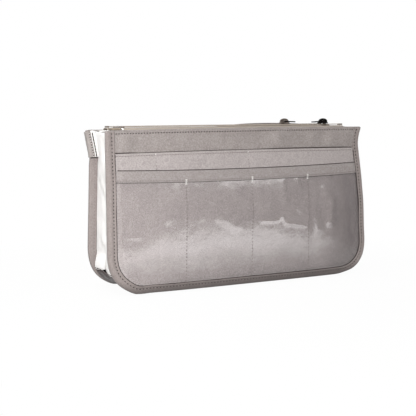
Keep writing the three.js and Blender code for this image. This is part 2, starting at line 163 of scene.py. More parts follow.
def settled(points):
    """The bag as it stands: bowed out at front and back with a belly over the bottom edge, flared at
    the lower right, with squarer bottom corners and a rear left edge that leans in below its top"""
    points = np.array(points, float)
    x, y, z = points[..., 0], points[..., 1], points[..., 2]
    front = np.clip((MIDDLE - y) / (DEPTH / 2), 0, 1)
    rear = np.clip((y - MIDDLE) / (DEPTH / 2), 0, 1)
    right = smooth(x, 30, 145)
    left = smooth(-x, 60, 145)
    from_corner = np.maximum(np.abs(x) - ARC_X, 0)
    below_corner = np.maximum(CORNER - z, 0)
    reach = np.hypot(from_corner, below_corner) + 1e-6
    push = CORNER_PUSH * (2 * from_corner * below_corner / reach ** 2) ** 2 * (reach / CORNER) ** 2
    low = 1 - smooth(z, 60, 150)
    belly = np.interp(z, BELLY_HEIGHTS, BELLY) * (1 - smooth(z, 68, 130))
    belly = belly * (1 - smooth(np.abs(x), 90, 140))
    chin = CHIN * (front + rear) * np.exp(-((x - CHIN_AT) / CHIN_WIDTH) ** 2)
    chin = chin * (1 - smooth(z, 3, 22))
    forward = front * (bow_at("front", x, z) + LEAN * right * low + belly)
    backward = rear * (bow_at("rear", x, z) + belly / 2)
    new_x = x + right * np.interp(z, FLARE_HEIGHTS, FLARE)
    new_x += rear * left * np.interp(z, REAR_HEIGHTS, REAR_LEFT_IN)
    new_x += rear * right * REAR_RIGHT_OUT * smooth(z, 110, HEIGHT)
    new_x += np.sign(x) * push * from_corner / reach
    points[..., 0] = new_x
    points[..., 1] = y - forward + backward
    points[..., 2] = np.maximum(z - push * below_corner / reach * smooth(z, 0, 6) - chin, z / 9)
    return points


def rounded(points, radius, steps=4):
    """A path whose corners are turned into short curves"""
    points = np.asarray(points, float)
    path = [points[0]]
    for before, corner, after in zip(points, points[1:], points[2:]):
        back, ahead = before - corner, after - corner
        start = corner + back * min(radius / np.linalg.norm(back), 0.5)
        end = corner + ahead * min(radius / np.linalg.norm(ahead), 0.5)
        for share in np.linspace(0, 1, steps + 1):
            inner, outer = (1 - share) ** 2, share ** 2
            path.append(inner * start + 2 * share * (1 - share) * corner + outer * end)
    path.append(points[-1])
    return np.array(path)


def spaced(path, step):
    """Points at about even steps along a path"""
    travelled = travelled_along(path)
    places = np.linspace(0, travelled[-1], max(2, int(round(travelled[-1] / step)) + 1))
    return np.stack([np.interp(places, travelled, column) for column in path.T], axis=1)


def edge_at(length_along):
    """Points on the sewn edge and the direction out of the bag, from the left top down, along the
    bottom and up to the right top"""
    side, arc = HEIGHT - CORNER, CORNER * math.pi / 2
    flat = 2 * ARC_X
    marks = np.cumsum([0, side, arc, flat, arc, side])
    angle = np.radians(np.interp(length_along, marks, (180, 180, 270, 270, 360, 360)))
    centre_x = np.interp(length_along, marks[2:4], (-ARC_X, ARC_X))
    centre_z = np.interp(length_along, marks[[0, 1, 4, 5]], (HEIGHT, CORNER, CORNER, HEIGHT))
    out_x, out_z = np.cos(angle), np.sin(angle)
    return centre_x + CORNER * out_x, centre_z + CORNER * out_z, out_x, out_z


EDGE_RUN = 2 * (HEIGHT - CORNER) + CORNER * math.pi + 2 * ARC_X


def from_top(stations):
    """How far along the sewn edge a station is from the nearer top corner"""
    return np.minimum(stations, EDGE_RUN - stations)


def round_edge(half, stations, inset, depth):
    """Points at an inset and a depth, for stations along the sewn edge"""
    x, z, out_x, out_z = edge_at(stations)
    return points_on(half, x - out_x * inset, depth, z - out_z * inset)


def half_length(z, inset):
    """Half the length of a layer at height z"""
    radius = CORNER - inset
    drop = np.maximum(CORNER - z, 0)
    return ARC_X + np.sqrt(np.maximum(radius ** 2 - drop ** 2, 0))


ROW_STEP = 3.0
FINE_STEP = 1.6


def row_heights(inset, top, extra=()):
    """Rows of a panel: close together round the bottom corners and where a seam needs them"""
    turn = np.linspace(0, math.pi / 2, 15)
    arc = CORNER - (CORNER - inset) * np.cos(turn)
    straight = np.linspace(CORNER, top, int((top - CORNER) / ROW_STEP) + 1)
    return np.unique(np.round(np.concatenate([arc, straight, extra]), 3))


def columns(extra=()):
    """Places across a panel, as shares of its half length from -1 to 1"""
    even = np.linspace(-1, 1, int(LENGTH / ROW_STEP))
    return np.unique(np.round(np.concatenate([even, extra]), 4))


def panel_grid(inset, top, heights, shares):
    """X and Z of every point of a panel with square top corners and round bottom corners"""
    z = np.minimum(heights, top)[:, None]
    x = half_length(z, inset) * shares[None, :]
    return np.broadcast_arrays(x, z)


def make_mesh(name, vertices, faces, cut=None):
    """A mesh object from points in millimetres; cut is where each point lies on the flat cloth"""
    mesh = bpy.data.meshes.new(name)
    mesh.from_pydata((np.asarray(vertices) * MM).tolist(), [], faces)
    if cut is not None:
        flat = np.zeros((len(vertices), 3), np.float32)
        flat[:, :2] = np.asarray(cut) * MM
        attribute = mesh.attributes.new("cut", "FLOAT_VECTOR", "POINT")
        attribute.data.foreach_set("vector", flat.ravel())
    shape = bmesh.new()
    shape.from_mesh(mesh)
    bmesh.ops.recalc_face_normals(shape, faces=shape.faces)
    shape.to_mesh(mesh)
    shape.free()
    mesh.shade_smooth()
    made = bpy.data.objects.new(name, mesh)
    bpy.context.scene.collection.objects.link(made)
    return made


def rim_of(rows, count):
    """The points round a grid, in order, each with its neighbour inside the grid"""
    index = np.arange(rows * count).reshape(rows, count)
    rim = [*index[0, :-1], *index[:-1, -1], *index[-1, :0:-1], *index[:0:-1, 0]]
    inside = [*index[1, :-1], *index[:-1, -2], *index[-2, :0:-1], *index[:0:-1, 1]]
    return np.array(rim), np.array(inside)


RIM_ROUND = 0.8


def cloth(name, grid, thickness, cut=None, settle=True):
    """A closed piece of thin cloth with rounded edges, from the grid that runs through its middle"""
    grid = settled(grid) if settle else np.asarray(grid, float)
    rows, count = grid.shape[:2]
    normals = unit(np.cross(np.gradient(grid, axis=1), np.gradient(grid, axis=0)))
    half = normals * np.broadcast_to(thickness, (rows, count))[..., None] / 2
    middle = grid.reshape(-1, 3)
    rim, inside = rim_of(rows, count)
    reach = np.linalg.norm(half.reshape(-1, 3)[rim], axis=1, keepdims=True)
    edge = middle[rim] + unit(middle[rim] - middle[inside]) * reach * RIM_ROUND
    if cut is None:
        steps = [np.linalg.norm(np.diff(grid, axis=axis), axis=2).mean(axis=1 - axis)
                 for axis in (1, 0)]
        cut = np.meshgrid(*map(running_total, steps))
    flat = np.stack(cut, axis=-1).reshape(-1, 2)
    total = rows * count
    index = np.arange(total).reshape(rows, count)
    cells = np.stack([index[:-1, :-1], index[:-1, 1:], index[1:, 1:], index[1:, :-1]],
                     axis=-1).reshape(-1, 4)
    faces = [*cells.tolist(), *(cells[:, ::-1] + total).tolist()]
    around = 2 * total + np.arange(len(rim))
    for side in (rim, rim + total):
        strip = [side, np.roll(side, -1), np.roll(around, -1), around]
        faces += np.stack(strip, axis=-1).tolist()
    vertices = np.concatenate([(grid + half).reshape(-1, 3), (grid - half).reshape(-1, 3), edge])
    return make_mesh(name, vertices, faces, np.concatenate([flat, flat, flat[rim]]))


CAPSULE_PLACES = np.array([-0.5, -0.42, -0.22, 0.22, 0.42, 0.5])
CAPSULE_WIDTHS = np.array([0.3, 0.8, 1, 1, 0.8, 0.3])
CAPSULE_SIDES = 6


def capsules(name, starts, ends, outward, radius, lift=0.0, sink=0.0):
    """Short round-ended rods, such as stitches; their ends sink into the cloth"""
    starts, ends = np.asarray(starts, float), np.asarray(ends, float)
    run = ends - starts
    ahead = unit(run)
    side = unit(np.cross(ahead, outward))
    out = np.cross(side, ahead)
    middle = (starts + ends) / 2
    turn = np.linspace(0, 2 * math.pi, CAPSULE_SIDES, endpoint=False)
    vertices, faces = [], []
    for place, width in zip(CAPSULE_PLACES, CAPSULE_WIDTHS):
        centre = middle + run * place + out * (lift - sink * (2 * abs(place)) ** 3)
        for angle in turn:
            vertices.append(centre + radius * width * (side * math.cos(angle) + out * math.sin(angle)))
    rings = np.stack(vertices, axis=1)
    per_rod = rings.shape[1]
    pattern = []
    for ring in range(len(CAPSULE_PLACES) - 1):
        for corner in range(CAPSULE_SIDES):
            first = ring * CAPSULE_SIDES + corner
            second = ring * CAPSULE_SIDES + (corner + 1) % CAPSULE_SIDES
            pattern.append((first, second, second + CAPSULE_SIDES, first + CAPSULE_SIDES))
    last = (len(CAPSULE_PLACES) - 1) * CAPSULE_SIDES
    pattern.append(tuple(range(CAPSULE_SIDES))[::-1])
    pattern.append(tuple(range(last, last + CAPSULE_SIDES)))
    for rod in range(len(rings)):
        base = rod * per_rod
        faces += [tuple(base + corner for corner in face) for face in pattern]
    return make_mesh(name, rings.reshape(-1, 3), faces)


# Finishes

def colour(hex_code):
    """An sRGB hex colour as linear red, green, blue and alpha"""
    channels = [int(hex_code[i:i + 2], 16) / 255 for i in (1, 3, 5)]
    linear = [c / 12.92 if c <= 0.04045 else ((c + 0.055) / 1.055) ** 2.4 for c in channels]
    return (*linear, 1)


def add_node(tree, kind, inputs=(), out=0, **settings):
    """Adds a shader node with its settings and gives one of its outputs; an input is a value or
    another node's output"""
    made = tree.nodes.new("ShaderNode" + kind)
    for name, value in settings.items():
        setattr(made, name, value)
    for name, value in dict(inputs).items():
        socket = made.inputs[name]
        if isinstance(value, bpy.types.NodeSocket):
            tree.links.new(value, socket)
        else:
            socket.default_value = value
    return made.outputs[out] if made.outputs else None


def new_finish(name):
    """An empty material, and add_node for its tree"""
    finish = bpy.data.materials.new(name)
    finish.use_nodes = True
    finish.node_tree.nodes.clear()
    return finish, partial(add_node, finish.node_tree)


def mottled(node, place, size, detail, dark, light):
    """A colour that wanders between two tones, in patches of about size millimetres"""
    patches = node("TexNoise", {"Vector": place, "Scale": 1 / (size * MM), "Detail": detail})
    return node("Mix", {"Factor": patches, "A": colour(dark), "B": colour(light)}, "Result",
                data_type="RGBA")


def wave_scale(pitch):
    """The wave texture's scale for a pitch in millimetres; at scale 1 it repeats each pi / 10"""
    return 2 * math.pi / (20 * pitch * MM)


def woven(name, dark, light, pitch, roughness, sheen=0.15, relief=0.12, crumple=0.5,
          blotch=9, contrast=1.0, grain=0.3, foot_shade=0.0):
    """Plain woven cloth: two sets of threads, uneven dyeing, a grain of thicker threads and soft
    crumples; the last setting paints shade along the foot of the bag, as how much darker it gets there"""
    finish, node = new_finish(name)
    cut = node("Attribute", out="Vector", attribute_name="cut")
    place = node("TexCoord", out="Object")
    warp, weft = (node("TexWave", {"Vector": cut, "Scale": wave_scale(pitch), "Distortion": 0.6,
                                   "Detail": 1, "Detail Scale": 0.3}, "Fac", bands_direction=way)
                  for way in ("X", "Y"))
    weave = node("Math", {0: warp, 1: weft}, operation="MULTIPLY")
    patches = node("TexNoise", {"Vector": place, "Scale": 1 / (blotch * MM), "Detail": 3,
                                "Roughness": 0.62})
    slubs = node("TexNoise", {"Vector": place, "Scale": 1 / (1.2 * MM), "Detail": 1})
    tones = 0.1
    for source, weight in ((patches, 0.3), (slubs, grain), (weave, 0.35)):
        tones = node("Math", {0: source, 1: weight, 2: tones}, operation="MULTIPLY_ADD")
    middle = 0.34 + grain / 2
    share = node("MapRange", {"Value": tones, "From Min": middle - 0.3 / contrast,
                              "From Max": middle + 0.3 / contrast})
    shade = node("Mix", {"Factor": share, "A": colour(dark), "B": colour(light)}, "Result",
                 data_type="RGBA")
    # Painted shade: the colour darkens towards the foot of the bag, where the cloth faces down
    height = node("SeparateXYZ", {"Vector": place}, "Z")
    height_shade = node("MapRange", {"Value": height, "From Min": 2 * MM, "From Max": 13 * MM,
                              "To Min": 1 - foot_shade})
    shaded_tone = node("HueSaturation", {"Value": height_shade, "Color": shade})
    creases = node("TexNoise", {"Vector": place, "Scale": 1 / (13 * MM), "Detail": 2,
                                "Roughness": 0.55})
    folds = node("Bump", {"Height": creases, "Strength": crumple, "Distance": 1.2 * MM})
    raised = node("Bump", {"Height": weave, "Strength": 0.8, "Distance": relief * MM,
                           "Normal": folds})
    shader = node("BsdfPrincipled", {
        "Base Color": shaded_tone, "Roughness": roughness, "Sheen Weight": sheen, "Sheen Roughness": 0.45,
        "Specular IOR Level": 0.25, "Normal": raised})
    node("OutputMaterial", {"Surface": shader})
    return finish


def oxford_polyester(name, dark, light):
    """Oxford polyester, dyed and woven from paired threads: a dull, slightly mottled taupe.
    Real threads are 0.4 mm apart; they are drawn 0.9 mm apart so that they show."""
    return woven(name, dark, light, pitch=0.9, roughness=0.78, sheen=0.2, crumple=0.4,
                 contrast=1.5, grain=0.9)


def folded_binding_tape(name, dark, light):
    """Polyester tape, folded in half and sewn on: closer threads and a slightly smoother face.
    Real ribs are 0.5 mm apart; they are drawn 1.1 mm apart so that they show."""
    # The binding tape, and the tapes made from it, get painted shade along the foot of the bag
    return woven(name, dark, light, pitch=1.1, roughness=0.7, relief=0.14, crumple=0.35, blotch=6,
                 contrast=1.3, grain=0.6, foot_shade=0.42)


def nylon_taffeta(name, dark, light):
    """White nylon taffeta, thin and calendered: a faint gloss that shows every wrinkle.
    Real threads are 0.15 mm apart; they are drawn 0.6 mm apart so that they show close up."""
    return woven(name, dark, light, pitch=0.6, roughness=0.55, sheen=0.05, relief=0.04,
                 crumple=0.8, blotch=14)


def woven_zip_tape(name, dark, light):
    """Polyester zip tape, woven as a close ribbed band: pale beige with a fine, even grain.
    Real cords are 0.6 mm apart; they are drawn 0.8 mm apart so that they show."""
    return woven(name, dark, light, pitch=0.8, roughness=0.75, relief=0.16, crumple=0.1,
                 blotch=7)


def spun_thread(name, dark, light):
    """Spun polyester sewing thread: matt, with a tone that changes from stitch to stitch"""
    finish, node = new_finish(name)
    place = node("TexCoord", out="Object")
    twist = node("TexWave", {"Vector": place, "Scale": wave_scale(0.5)}, "Fac",
                 bands_direction="DIAGONAL")
    strands = node("Bump", {"Height": twist, "Strength": 0.5, "Distance": 0.05 * MM})
    shader = node("BsdfPrincipled", {
        "Base Color": mottled(node, place, 2.5, 1, dark, light), "Roughness": 0.8,
        "Specular IOR Level": 0.2, "Normal": strands})
    node("OutputMaterial", {"Surface": shader})
    return finish


def moulded_nylon_coil(name, dark, light):
    """Nylon monofilament, wound and set as a zip coil: smooth beige with a soft shine"""
    finish, node = new_finish(name)
    place = node("TexCoord", out="Object")
    shader = node("BsdfPrincipled", {
        "Base Color": mottled(node, place, 4, 2, dark, light), "Roughness": 0.38, "IOR": 1.53})
    node("OutputMaterial", {"Surface": shader})
    return finish


def plated_zinc(name, dark, light, metallic=1.0):
    """Die-cast zinc alloy, plated in black nickel: near black, satin, paler and duller where it is
    rubbed down"""
    finish, node = new_finish(name)
    place = node("TexCoord", out="Object")
    rub = node("TexNoise", {"Vector": place, "Scale": 1 / (2.2 * MM), "Detail": 4,
                            "Roughness": 0.6})
    wear = node("MapRange", {"Value": rub, "From Min": 0.45, "From Max": 0.75})
    shade = node("Mix", {"Factor": wear, "A": colour(dark), "B": colour(light)}, "Result",
                 data_type="RGBA")
    gloss = node("MapRange", {"Value": rub, "To Min": 0.24, "To Max": 0.42})
    grain = node("Bump", {"Height": rub, "Strength": 0.3, "Distance": 0.06 * MM})
    shader = node("BsdfPrincipled", {"Base Color": shade, "Metallic": metallic, "Roughness": gloss,
                                     "Normal": grain})
    node("OutputMaterial", {"Surface": shader})
    return finish


def calendered_vinyl_film(name):
    """Clear vinyl film, calendered: see-through with a thin bright gloss, stronger at a low angle,
    and a light haze from handling"""
    finish, node = new_finish(name)
    place = node("TexCoord", out="Object")
    angle = node("LayerWeight", out="Facing")
    steep = node("Math", {0: angle, 1: 2.0}, operation="POWER")
    smudge = node("TexNoise", {"Vector": place, "Scale": 1 / (16 * MM), "Detail": 3,
                               "Roughness": 0.6})
    haze = node("MapRange", {"Value": smudge, "From Min": 0.35, "From Max": 0.7,
                             "To Min": 0.12, "To Max": 0.16})
    cover = node("Math", {0: steep, 1: 1.8, 2: haze}, operation="MULTIPLY_ADD", use_clamp=True)
    ripple = node("TexNoise", {"Vector": place, "Scale": 1 / (12 * MM), "Detail": 2,
                               "Roughness": 0.5})
    waves = node("Bump", {"Height": ripple, "Strength": 0.5, "Distance": 0.35 * MM})
    gloss = node("BsdfPrincipled", {"Base Color": colour("#F8F6F7"), "Metallic": 1.0,
                                    "Roughness": 0.13, "Normal": waves})
    mixed = node("MixShader", {0: cover, 1: node("BsdfTransparent"), 2: gloss})
    node("OutputMaterial", {"Surface": mixed})
    return finish


# The panel is the same taupe cloth as the pockets, painted darker for the shade on the top strip
SHADED_PANEL_CLOTH = oxford_polyester("oxford_polyester_panel_painted_shade", "#8E8683", "#ABA4A1")
POCKET_CLOTH = oxford_polyester("oxford_polyester_pocket", "#A09897", "#BDB6B4")
# The band is the same cloth again, painted darker for the shade on it
SHADED_BAND_CLOTH = oxford_polyester("oxford_polyester_band_painted_shade", "#908886", "#AAA4A2")
# The bottom is the same taupe cloth, painted near black for the shade on its downward face
SHADED_BASE_CLOTH = oxford_polyester("oxford_polyester_base_painted_shade", "#463D3B", "#594F4C")
BINDING_TAPE = folded_binding_tape("polyester_binding_tape", "#887F7C", "#A49B98")
TAB_TAPE = folded_binding_tape("polyester_edge_tab_tape", "#948D8A", "#AEA7A4")
# A dark strip that paints the shade over the pockets' edges
PAINTED_SHADE_TAPE = folded_binding_tape("painted_shade_strip_tape", "#3A3230", "#4E4644")
WHITE_NYLON = nylon_taffeta("nylon_taffeta_white", "#EAE9E7", "#F6F5F3")
LINING_CLOTH = nylon_taffeta("nylon_taffeta_lining", "#CDC9C6", "#DEDBD8")
ZIP_TAPE = woven_zip_tape("polyester_zip_tape", "#AEA296", "#C8BDB2")
TAN_TAPE = woven_zip_tape("polyester_end_tab_tape", "#8B8073", "#A29686")
BEIGE_TAPE = woven_zip_tape("polyester_end_tab_beige", "#746B63", "#8A8078")
COIL_NYLON = moulded_nylon_coil("nylon_coil", "#9A8E83", "#B7ACA0")
STOP_NYLON = moulded_nylon_coil("nylon_stop", "#6A6058", "#7F756B")
DARK_METAL = plated_zinc("black_nickel", "#1C1B1B", "#4A4745")
# A paler, less metallic copy of the black nickel, given to the rear slider
PALE_METAL = plated_zinc("black_nickel_pale", "#6B625B", "#A59A90", 0.3)
GREY_THREAD = spun_thread("polyester_thread_grey", "#8D8583", "#A79F9C")
# Painted shade: the darkest thread draws shade in needle holes, beside the front binding, under the
# band and along the tabs; the dim one fainter shade in needle holes on pockets and film
DARK_SHADE_THREAD = spun_thread("painted_shade_dark", "#332D2B", "#453E3C")
DIM_SHADE_THREAD = spun_thread("painted_shade_dim", "#7C7472", "#918988")
PALE_THREAD = spun_thread("polyester_thread_pale", "#CFC8C5", "#E9E4E1")
WHITE_THREAD = spun_thread("polyester_thread_white", "#E6E3E0", "#F6F4F2")
CLEAR_FILM = calendered_vinyl_film("clear_vinyl_film")


def place_piece(made, finish, stands_for=(), body="bag"):
    """Gives a new piece its finish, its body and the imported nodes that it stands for"""
    made.data.materials.append(finish)
    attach(made, body)
    if stands_for:
        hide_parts(*stands_for)


# Sewing

STITCH_PITCH = 3.4
STITCH_SHARE = 0.5
# How far a rod's middle is lifted and its ends are sunk, as shares of its radius
STITCH, HOLE_SHADE_FORM, STRAIGHT = (0.35, 1.1), (0.1, 0.6), (0, 0)


class Sewing:
    """Collects rows of stitches, or of the dark dots and lines that paint shade, of one thread, which
    become one piece
    """

    def __init__(self, name, radius, form, finish, slot):
        self.name, self.radius, self.form, self.finish, self.slot = name, radius, form, finish, slot
        self.starts, self.ends, self.outward = [], [], []

    def add_row(self, path, outward, pitch=STITCH_PITCH, share=STITCH_SHARE, first=0.0):
        """Stitches along a path of settled points, each as long as its share of the pitch"""
        path = np.asarray(path, float)
        travelled = travelled_along(path)
        for number in range(max(1, int(travelled[-1] / pitch))):
            for points, place in ((self.starts, number + first), (self.ends, number + first + share)):
                points.append([np.interp(place * pitch, travelled, column) for column in path.T])
            self.outward.append(outward)

    def make(self):
        lift, sink = (self.radius * amount for amount in self.form)
        made = capsules(self.name, self.starts, self.ends, np.array(self.outward, float),
                        self.radius, lift, sink)
        place_piece(made, self.finish)


seam_stitches = Sewing("seam_stitches", 0.28, STITCH, GREY_THREAD, "binding")
tab_stitches = Sewing("tab_stitches", 0.28, STITCH, PALE_THREAD, "binding")
tacks = Sewing("tack_stitches", 0.34, STITCH, WHITE_THREAD, "nylon")
# Painted shade: dark dots between stitches stand for the shade in the needle holes
needle_hole_shade = Sewing("needle_hole_shade", 0.48, HOLE_SHADE_FORM, DARK_SHADE_THREAD, "binding")
faint_hole_shade = Sewing("faint_needle_hole_shade", 0.34, HOLE_SHADE_FORM, DIM_SHADE_THREAD, "pocket")
film_hole_shade = Sewing("film_needle_hole_shade", 0.46, HOLE_SHADE_FORM, DIM_SHADE_THREAD, "pocket")
# Painted shade: a dark line in the gap beside the front binding
seam_shades = Sewing("seam_shade_threads", 0.42, STRAIGHT, DARK_SHADE_THREAD, "binding")
# Painted shadow: a dark line under the band's lower edge
band_shadow_lines = Sewing("band_shadow_line", 0.27, STRAIGHT, DARK_SHADE_THREAD, "film")
# Painted shade: dark lines along the tabs' inner edges and feet
tab_shade_lines = Sewing("tab_shade_threads", 0.6, STRAIGHT, DARK_SHADE_THREAD, "binding")
SEWINGS = (seam_stitches, tab_stitches, tacks, needle_hole_shade, faint_hole_shade, film_hole_shade, seam_shades,
           band_shadow_lines, tab_shade_lines)


def sew_row(path, outward, pitch=STITCH_PITCH, thread=seam_stitches, hole_shade=needle_hole_shade):
    """A row of stitches, with dark dots of painted shade between them where the needle went in"""
    thread.add_row(path, outward, pitch)
    hole_shade.add_row(path, outward, pitch, 0.98 - STITCH_SHARE, STITCH_SHARE + 0.01)


def on_bag(half, x, depth, z):
    """Points of the bag as it stands"""
    return settled(points_on(half, x, depth, z))


# Surfaces of the layers: depth of the middle of the cloth at X and Z

def beside_binding(x):
    """The cloth is fullest close to the left binding"""
    return 0.4 * smooth(-np.asarray(x), 108, 132)


PANEL_HEM, SLIP_HEM = 2.8, 2.2
DEEPEST_CREASE = 0.35


def panel_depth(x, z):
    """Soft upright creases hang from the top seam and from the zip, down to the pockets"""
    creases = soft_noise(x / 11, z / 60, 3) * 1.2 + soft_noise(x / 25, z / 40, 4) * 0.9 - 0.8
    creases = np.minimum(creases * (1 + 0.8 * smooth(x, 0, 60)), DEEPEST_CREASE)
    pocket = SLIP_TOP["front"]
    shown = smooth(HEIGHT - z, 1, 7) * smooth(z, pocket - 1, pocket + 9)
    hem = np.exp(-((z - HEIGHT + PANEL_HEM) / 0.9) ** 2) * 0.35
    return PANEL[0] + creases * shown + hem - beside_binding(x)


def slip_depth(half, x, z):
    """A slip pocket lies on its panel and stands a little open at the top between its seams"""
    top = SLIP_TOP[half]
    side = HALF_LENGTH - SEAM_INSET
    near_seam = np.min(np.abs(np.asarray(x)[..., None] - (-side, *SLIP_SEAMS, side)), axis=-1)
    bay = 1 - 0.7 * smooth(-x, 90, 104)
    open_mouth = MOUTH[half] * bay * smooth(near_seam, 0, 26) * smooth(z, top - 22, top)
    creases = soft_noise(x / 13, z / 45, 7) * 0.35 + soft_noise(x / 30, z / 30, 8) * 0.4
    groove = np.exp(-(near_seam / 1.2) ** 2) * 0.3
    hem = np.exp(-((z - top + SLIP_HEM) / 0.8) ** 2) * 0.25
    fade = smooth(z, 8, 30) * smooth(side - np.abs(x), 2, 30) * (1 + smooth(x, 0, 60))
    return SLIP[0] - open_mouth + creases * fade * 0.8 + groove + hem - beside_binding(x)


# Three places along each ridge, its height and its half width, set from the photograph
FILM_CREASES = (
    ((42, 103), (42, 93), (42, 82), 0.37, 3.0),
    ((59, 104), (60, 99), (62, 94), 0.34, 2.8),
    ((46, 80), (53, 77), (62, 72), 0.27, 2.8),
    ((76, 81), (79, 66), (82, 51), 0.41, 4.0),
    ((90, 92), (99, 82), (96, 58), 0.8, 4.6),
    ((131, 55), (129, 49), (133, 42), 0.59, 2.2),
    ((16, 64), (33, 63), (39, 67), 0.17, 2.0),
    ((39, 67), (44, 60), (69, 56), 0.2, 2.2),
    ((-124, 103), (-130, 94), (-136, 85), 0.37, 3.2),
    ((-107, 103), (-118, 95), (-131, 85), 0.37, 3.6),
    ((-135, 55), (-128, 56), (-118, 56), 0.24, 2.8),
    ((-137, 71), (-130, 73), (-122, 73), 0.2, 2.8),
    ((-88, 72), (-76, 79), (-61, 85), 0.27, 5.0),
    ((-34, 71), (-24, 66), (-14, 60), 0.17, 5.0),
    ((-73, 92), (-66, 82), (-50, 74), 0.16, 5.5),
)


def crease_height(x, z):
    """Ridges that the film took from being folded"""
    total = np.zeros(np.shape(x))
    for first, second, third, height, width in FILM_CREASES:
        nearest = np.full(np.shape(x), 1e9)
        for start, end in ((first, second), (second, third)):
            run = np.subtract(end, start)
            share = ((x - start[0]) * run[0] + (z - start[1]) * run[1]) / (run @ run)
            share = np.clip(share, 0, 1)
            off = np.hypot(x - start[0] - share * run[0], z - start[1] - share * run[1])
            nearest = np.minimum(nearest, off)
        total = total + height * np.exp(-(nearest / width) ** 2)
    return total


def arch_at(x):
    """0 at each seam of the clear pocket and 1 half way between two"""
    total = np.zeros(np.shape(x))
    for left, right in zip(FILM_MARKS, FILM_MARKS[1:]):
        inside = (x >= left) & (x <= right)
        total = np.where(inside, np.sin(math.pi * (x - left) / (right - left)), total)
    return total


EDGE_DEPTH = -0.2


def film_depth(x, z):
    """The film arches between its seams, and goes under the binding at its edges"""
    at_edge = smooth(half_length(z, POCKET_INSET) - np.abs(x), 0, 24) * smooth(z, 7.5, 15)
    forward = FILM_ARCH * arch_at(x) ** 2 * smooth(z, 8, 46)
    ripples = soft_noise(x / 14, z / 34, 11) * 0.07 + soft_noise(x / 34, z / 34, 12) * 0.15
    ripples = ripples * (1 + 2.5 * smooth(z, 62, 92)) * (1 - smooth(x, 104, 122))
    free = smooth(arch_at(x), 0, 0.35) * smooth(z, 10, 30)
    return EDGE_DEPTH + at_edge * (FILM[0] - EDGE_DEPTH - forward - ripples * free
                                   - crease_height(x, z) * free)


def pressed_at(x):
    """0 where the band lies free, and 1 where it is pressed flat to go under the binding"""
    return smooth(np.abs(x), 131, 137)


def band_depth(x, depth):
    """The band lies over the film and follows its arches"""
    shift = -FILM_ARCH * arch_at(x) ** 2 + soft_noise(x / 14, 0, 21) * 0.2 - beside_binding(x)
    free, pressed = depth + shift, pressed_at(x)
    return free * (1 - pressed) + (EDGE_DEPTH + (depth - FILM[0]) * 0.3) * pressed


def band_top(x):
    """The band's top edge dips a little in the middle"""
    return BAND_TOP - 0.8 + 2.0 * (np.asarray(x) / 140) ** 2


CROWN_X = (-145, -60, -20, 5, 25, 45, 75, 110, 130, 145)
CROWN = {"front": (0.3, 1.0, 1.0, 1.1, 1.2, 1.2, 1.1, 0.8, 0.6, 0.4),
         "rear": (0.3, 0.3, 0.8, 2.2, 4.2, 5.0, 5.0, 3.4, 1.6, 0.5)}


def top_crown(half):
    """How far a panel's top edge rises in the middle; smoothed between the values of CROWN"""
    spread = np.linspace(-14, 14, 9)
    return lambda x: np.mean([np.interp(x + off, CROWN_X, CROWN[half]) for off in spread], axis=0)


# Panels, linings and dividers

def layer(name, half, inset, top, depth, thickness, heights=(), crown=None, shares=None):
    """A flat layer of the bag; depth is a function of X and Z, and crown of X"""
    rows = row_heights(inset, top, heights)
    x, z = panel_grid(inset, top, rows, columns() if shares is None else shares)
    raised = crown(x) * smooth(z, top - 30, top) if crown else 0
    return cloth(name, points_on(half, x, depth(x, z), z + raised), thickness, cut=(x, z))


HEM_DROPS = np.array((0.4, 0.9, 1.4, 1.8, 2.2, 2.6, 3.0, 3.6, 4.4))
EDGE_DROPS = np.array((1, 3))
NOISE_SHIFT = {"front": 0, "rear": 40}

for half in HALVES:
    shift = NOISE_SHIFT[half]
    made = layer(f"{half}_panel_cloth", half, PANEL_INSET, HEIGHT,
                 lambda x, z: panel_depth(x + shift, z), PANEL[1],
                 HEIGHT - HEM_DROPS, crown=top_crown(half))
    place_piece(made, SHADED_PANEL_CLOTH, [f"{half}_panel"])
    made = layer(f"{half}_lining_cloth", half, PANEL_INSET, HEIGHT,
                 lambda x, z: LINING[0] + 0.0 * x, LINING[1], HEIGHT - EDGE_DROPS)
    place_piece(made, LINING_CLOTH, [f"{half}_lining"])
    made = layer(f"{half}_divider_cloth", half, DIVIDER_INSET, HEIGHT,
                 lambda x, z: DIVIDER[0] - soft_noise((x + shift) / 30, z / 60, 15) * 1.4
                 * smooth(z, 12, 60) * smooth(HALF_LENGTH - abs(x), 10, 40),
                 DIVIDER[1], HEIGHT - EDGE_DROPS)
    place_piece(made, WHITE_NYLON, [f"{half}_divider"])


# Slip pockets

def slip_crown(x):
    return 0.9 * np.clip(1 - (x / HALF_LENGTH) ** 2, 0, 1)


seam_marks = [(seam + off) / POCKET_HALF for seam in SLIP_SEAMS for off in (-1.2, 0, 1.2)]
for half in HALVES:
    top = SLIP_TOP[half]
    made = layer(f"{half}_slip_pocket_cloth", half, POCKET_INSET, top,
                 lambda x, z: slip_depth(half, x, z), SLIP[1],
                 top - HEM_DROPS, crown=slip_crown, shares=columns(seam_marks))
    place_piece(made, POCKET_CLOTH, [f"{half}_slip_pocket"])

LINE_END = HALF_LENGTH - 8.2
LINE = np.linspace(-LINE_END, LINE_END, 160)
SHADE_STRIP_THICK = 0.16


def mouth_shade_strip(name, half, top, depth, shown):
    """A dark strip of painted shade inside a pocket's mouth, of which only a thin line shows over the
    edge;
    top, depth and shown are heights and depths along LINE"""
    grid = np.stack([points_on(half, LINE, depth, top + rise)
                     for rise in (-1.8, -0.9, 0, shown * 0.6, shown)])
    place_piece(cloth(name, grid, SHADE_STRIP_THICK), PAINTED_SHADE_TAPE)


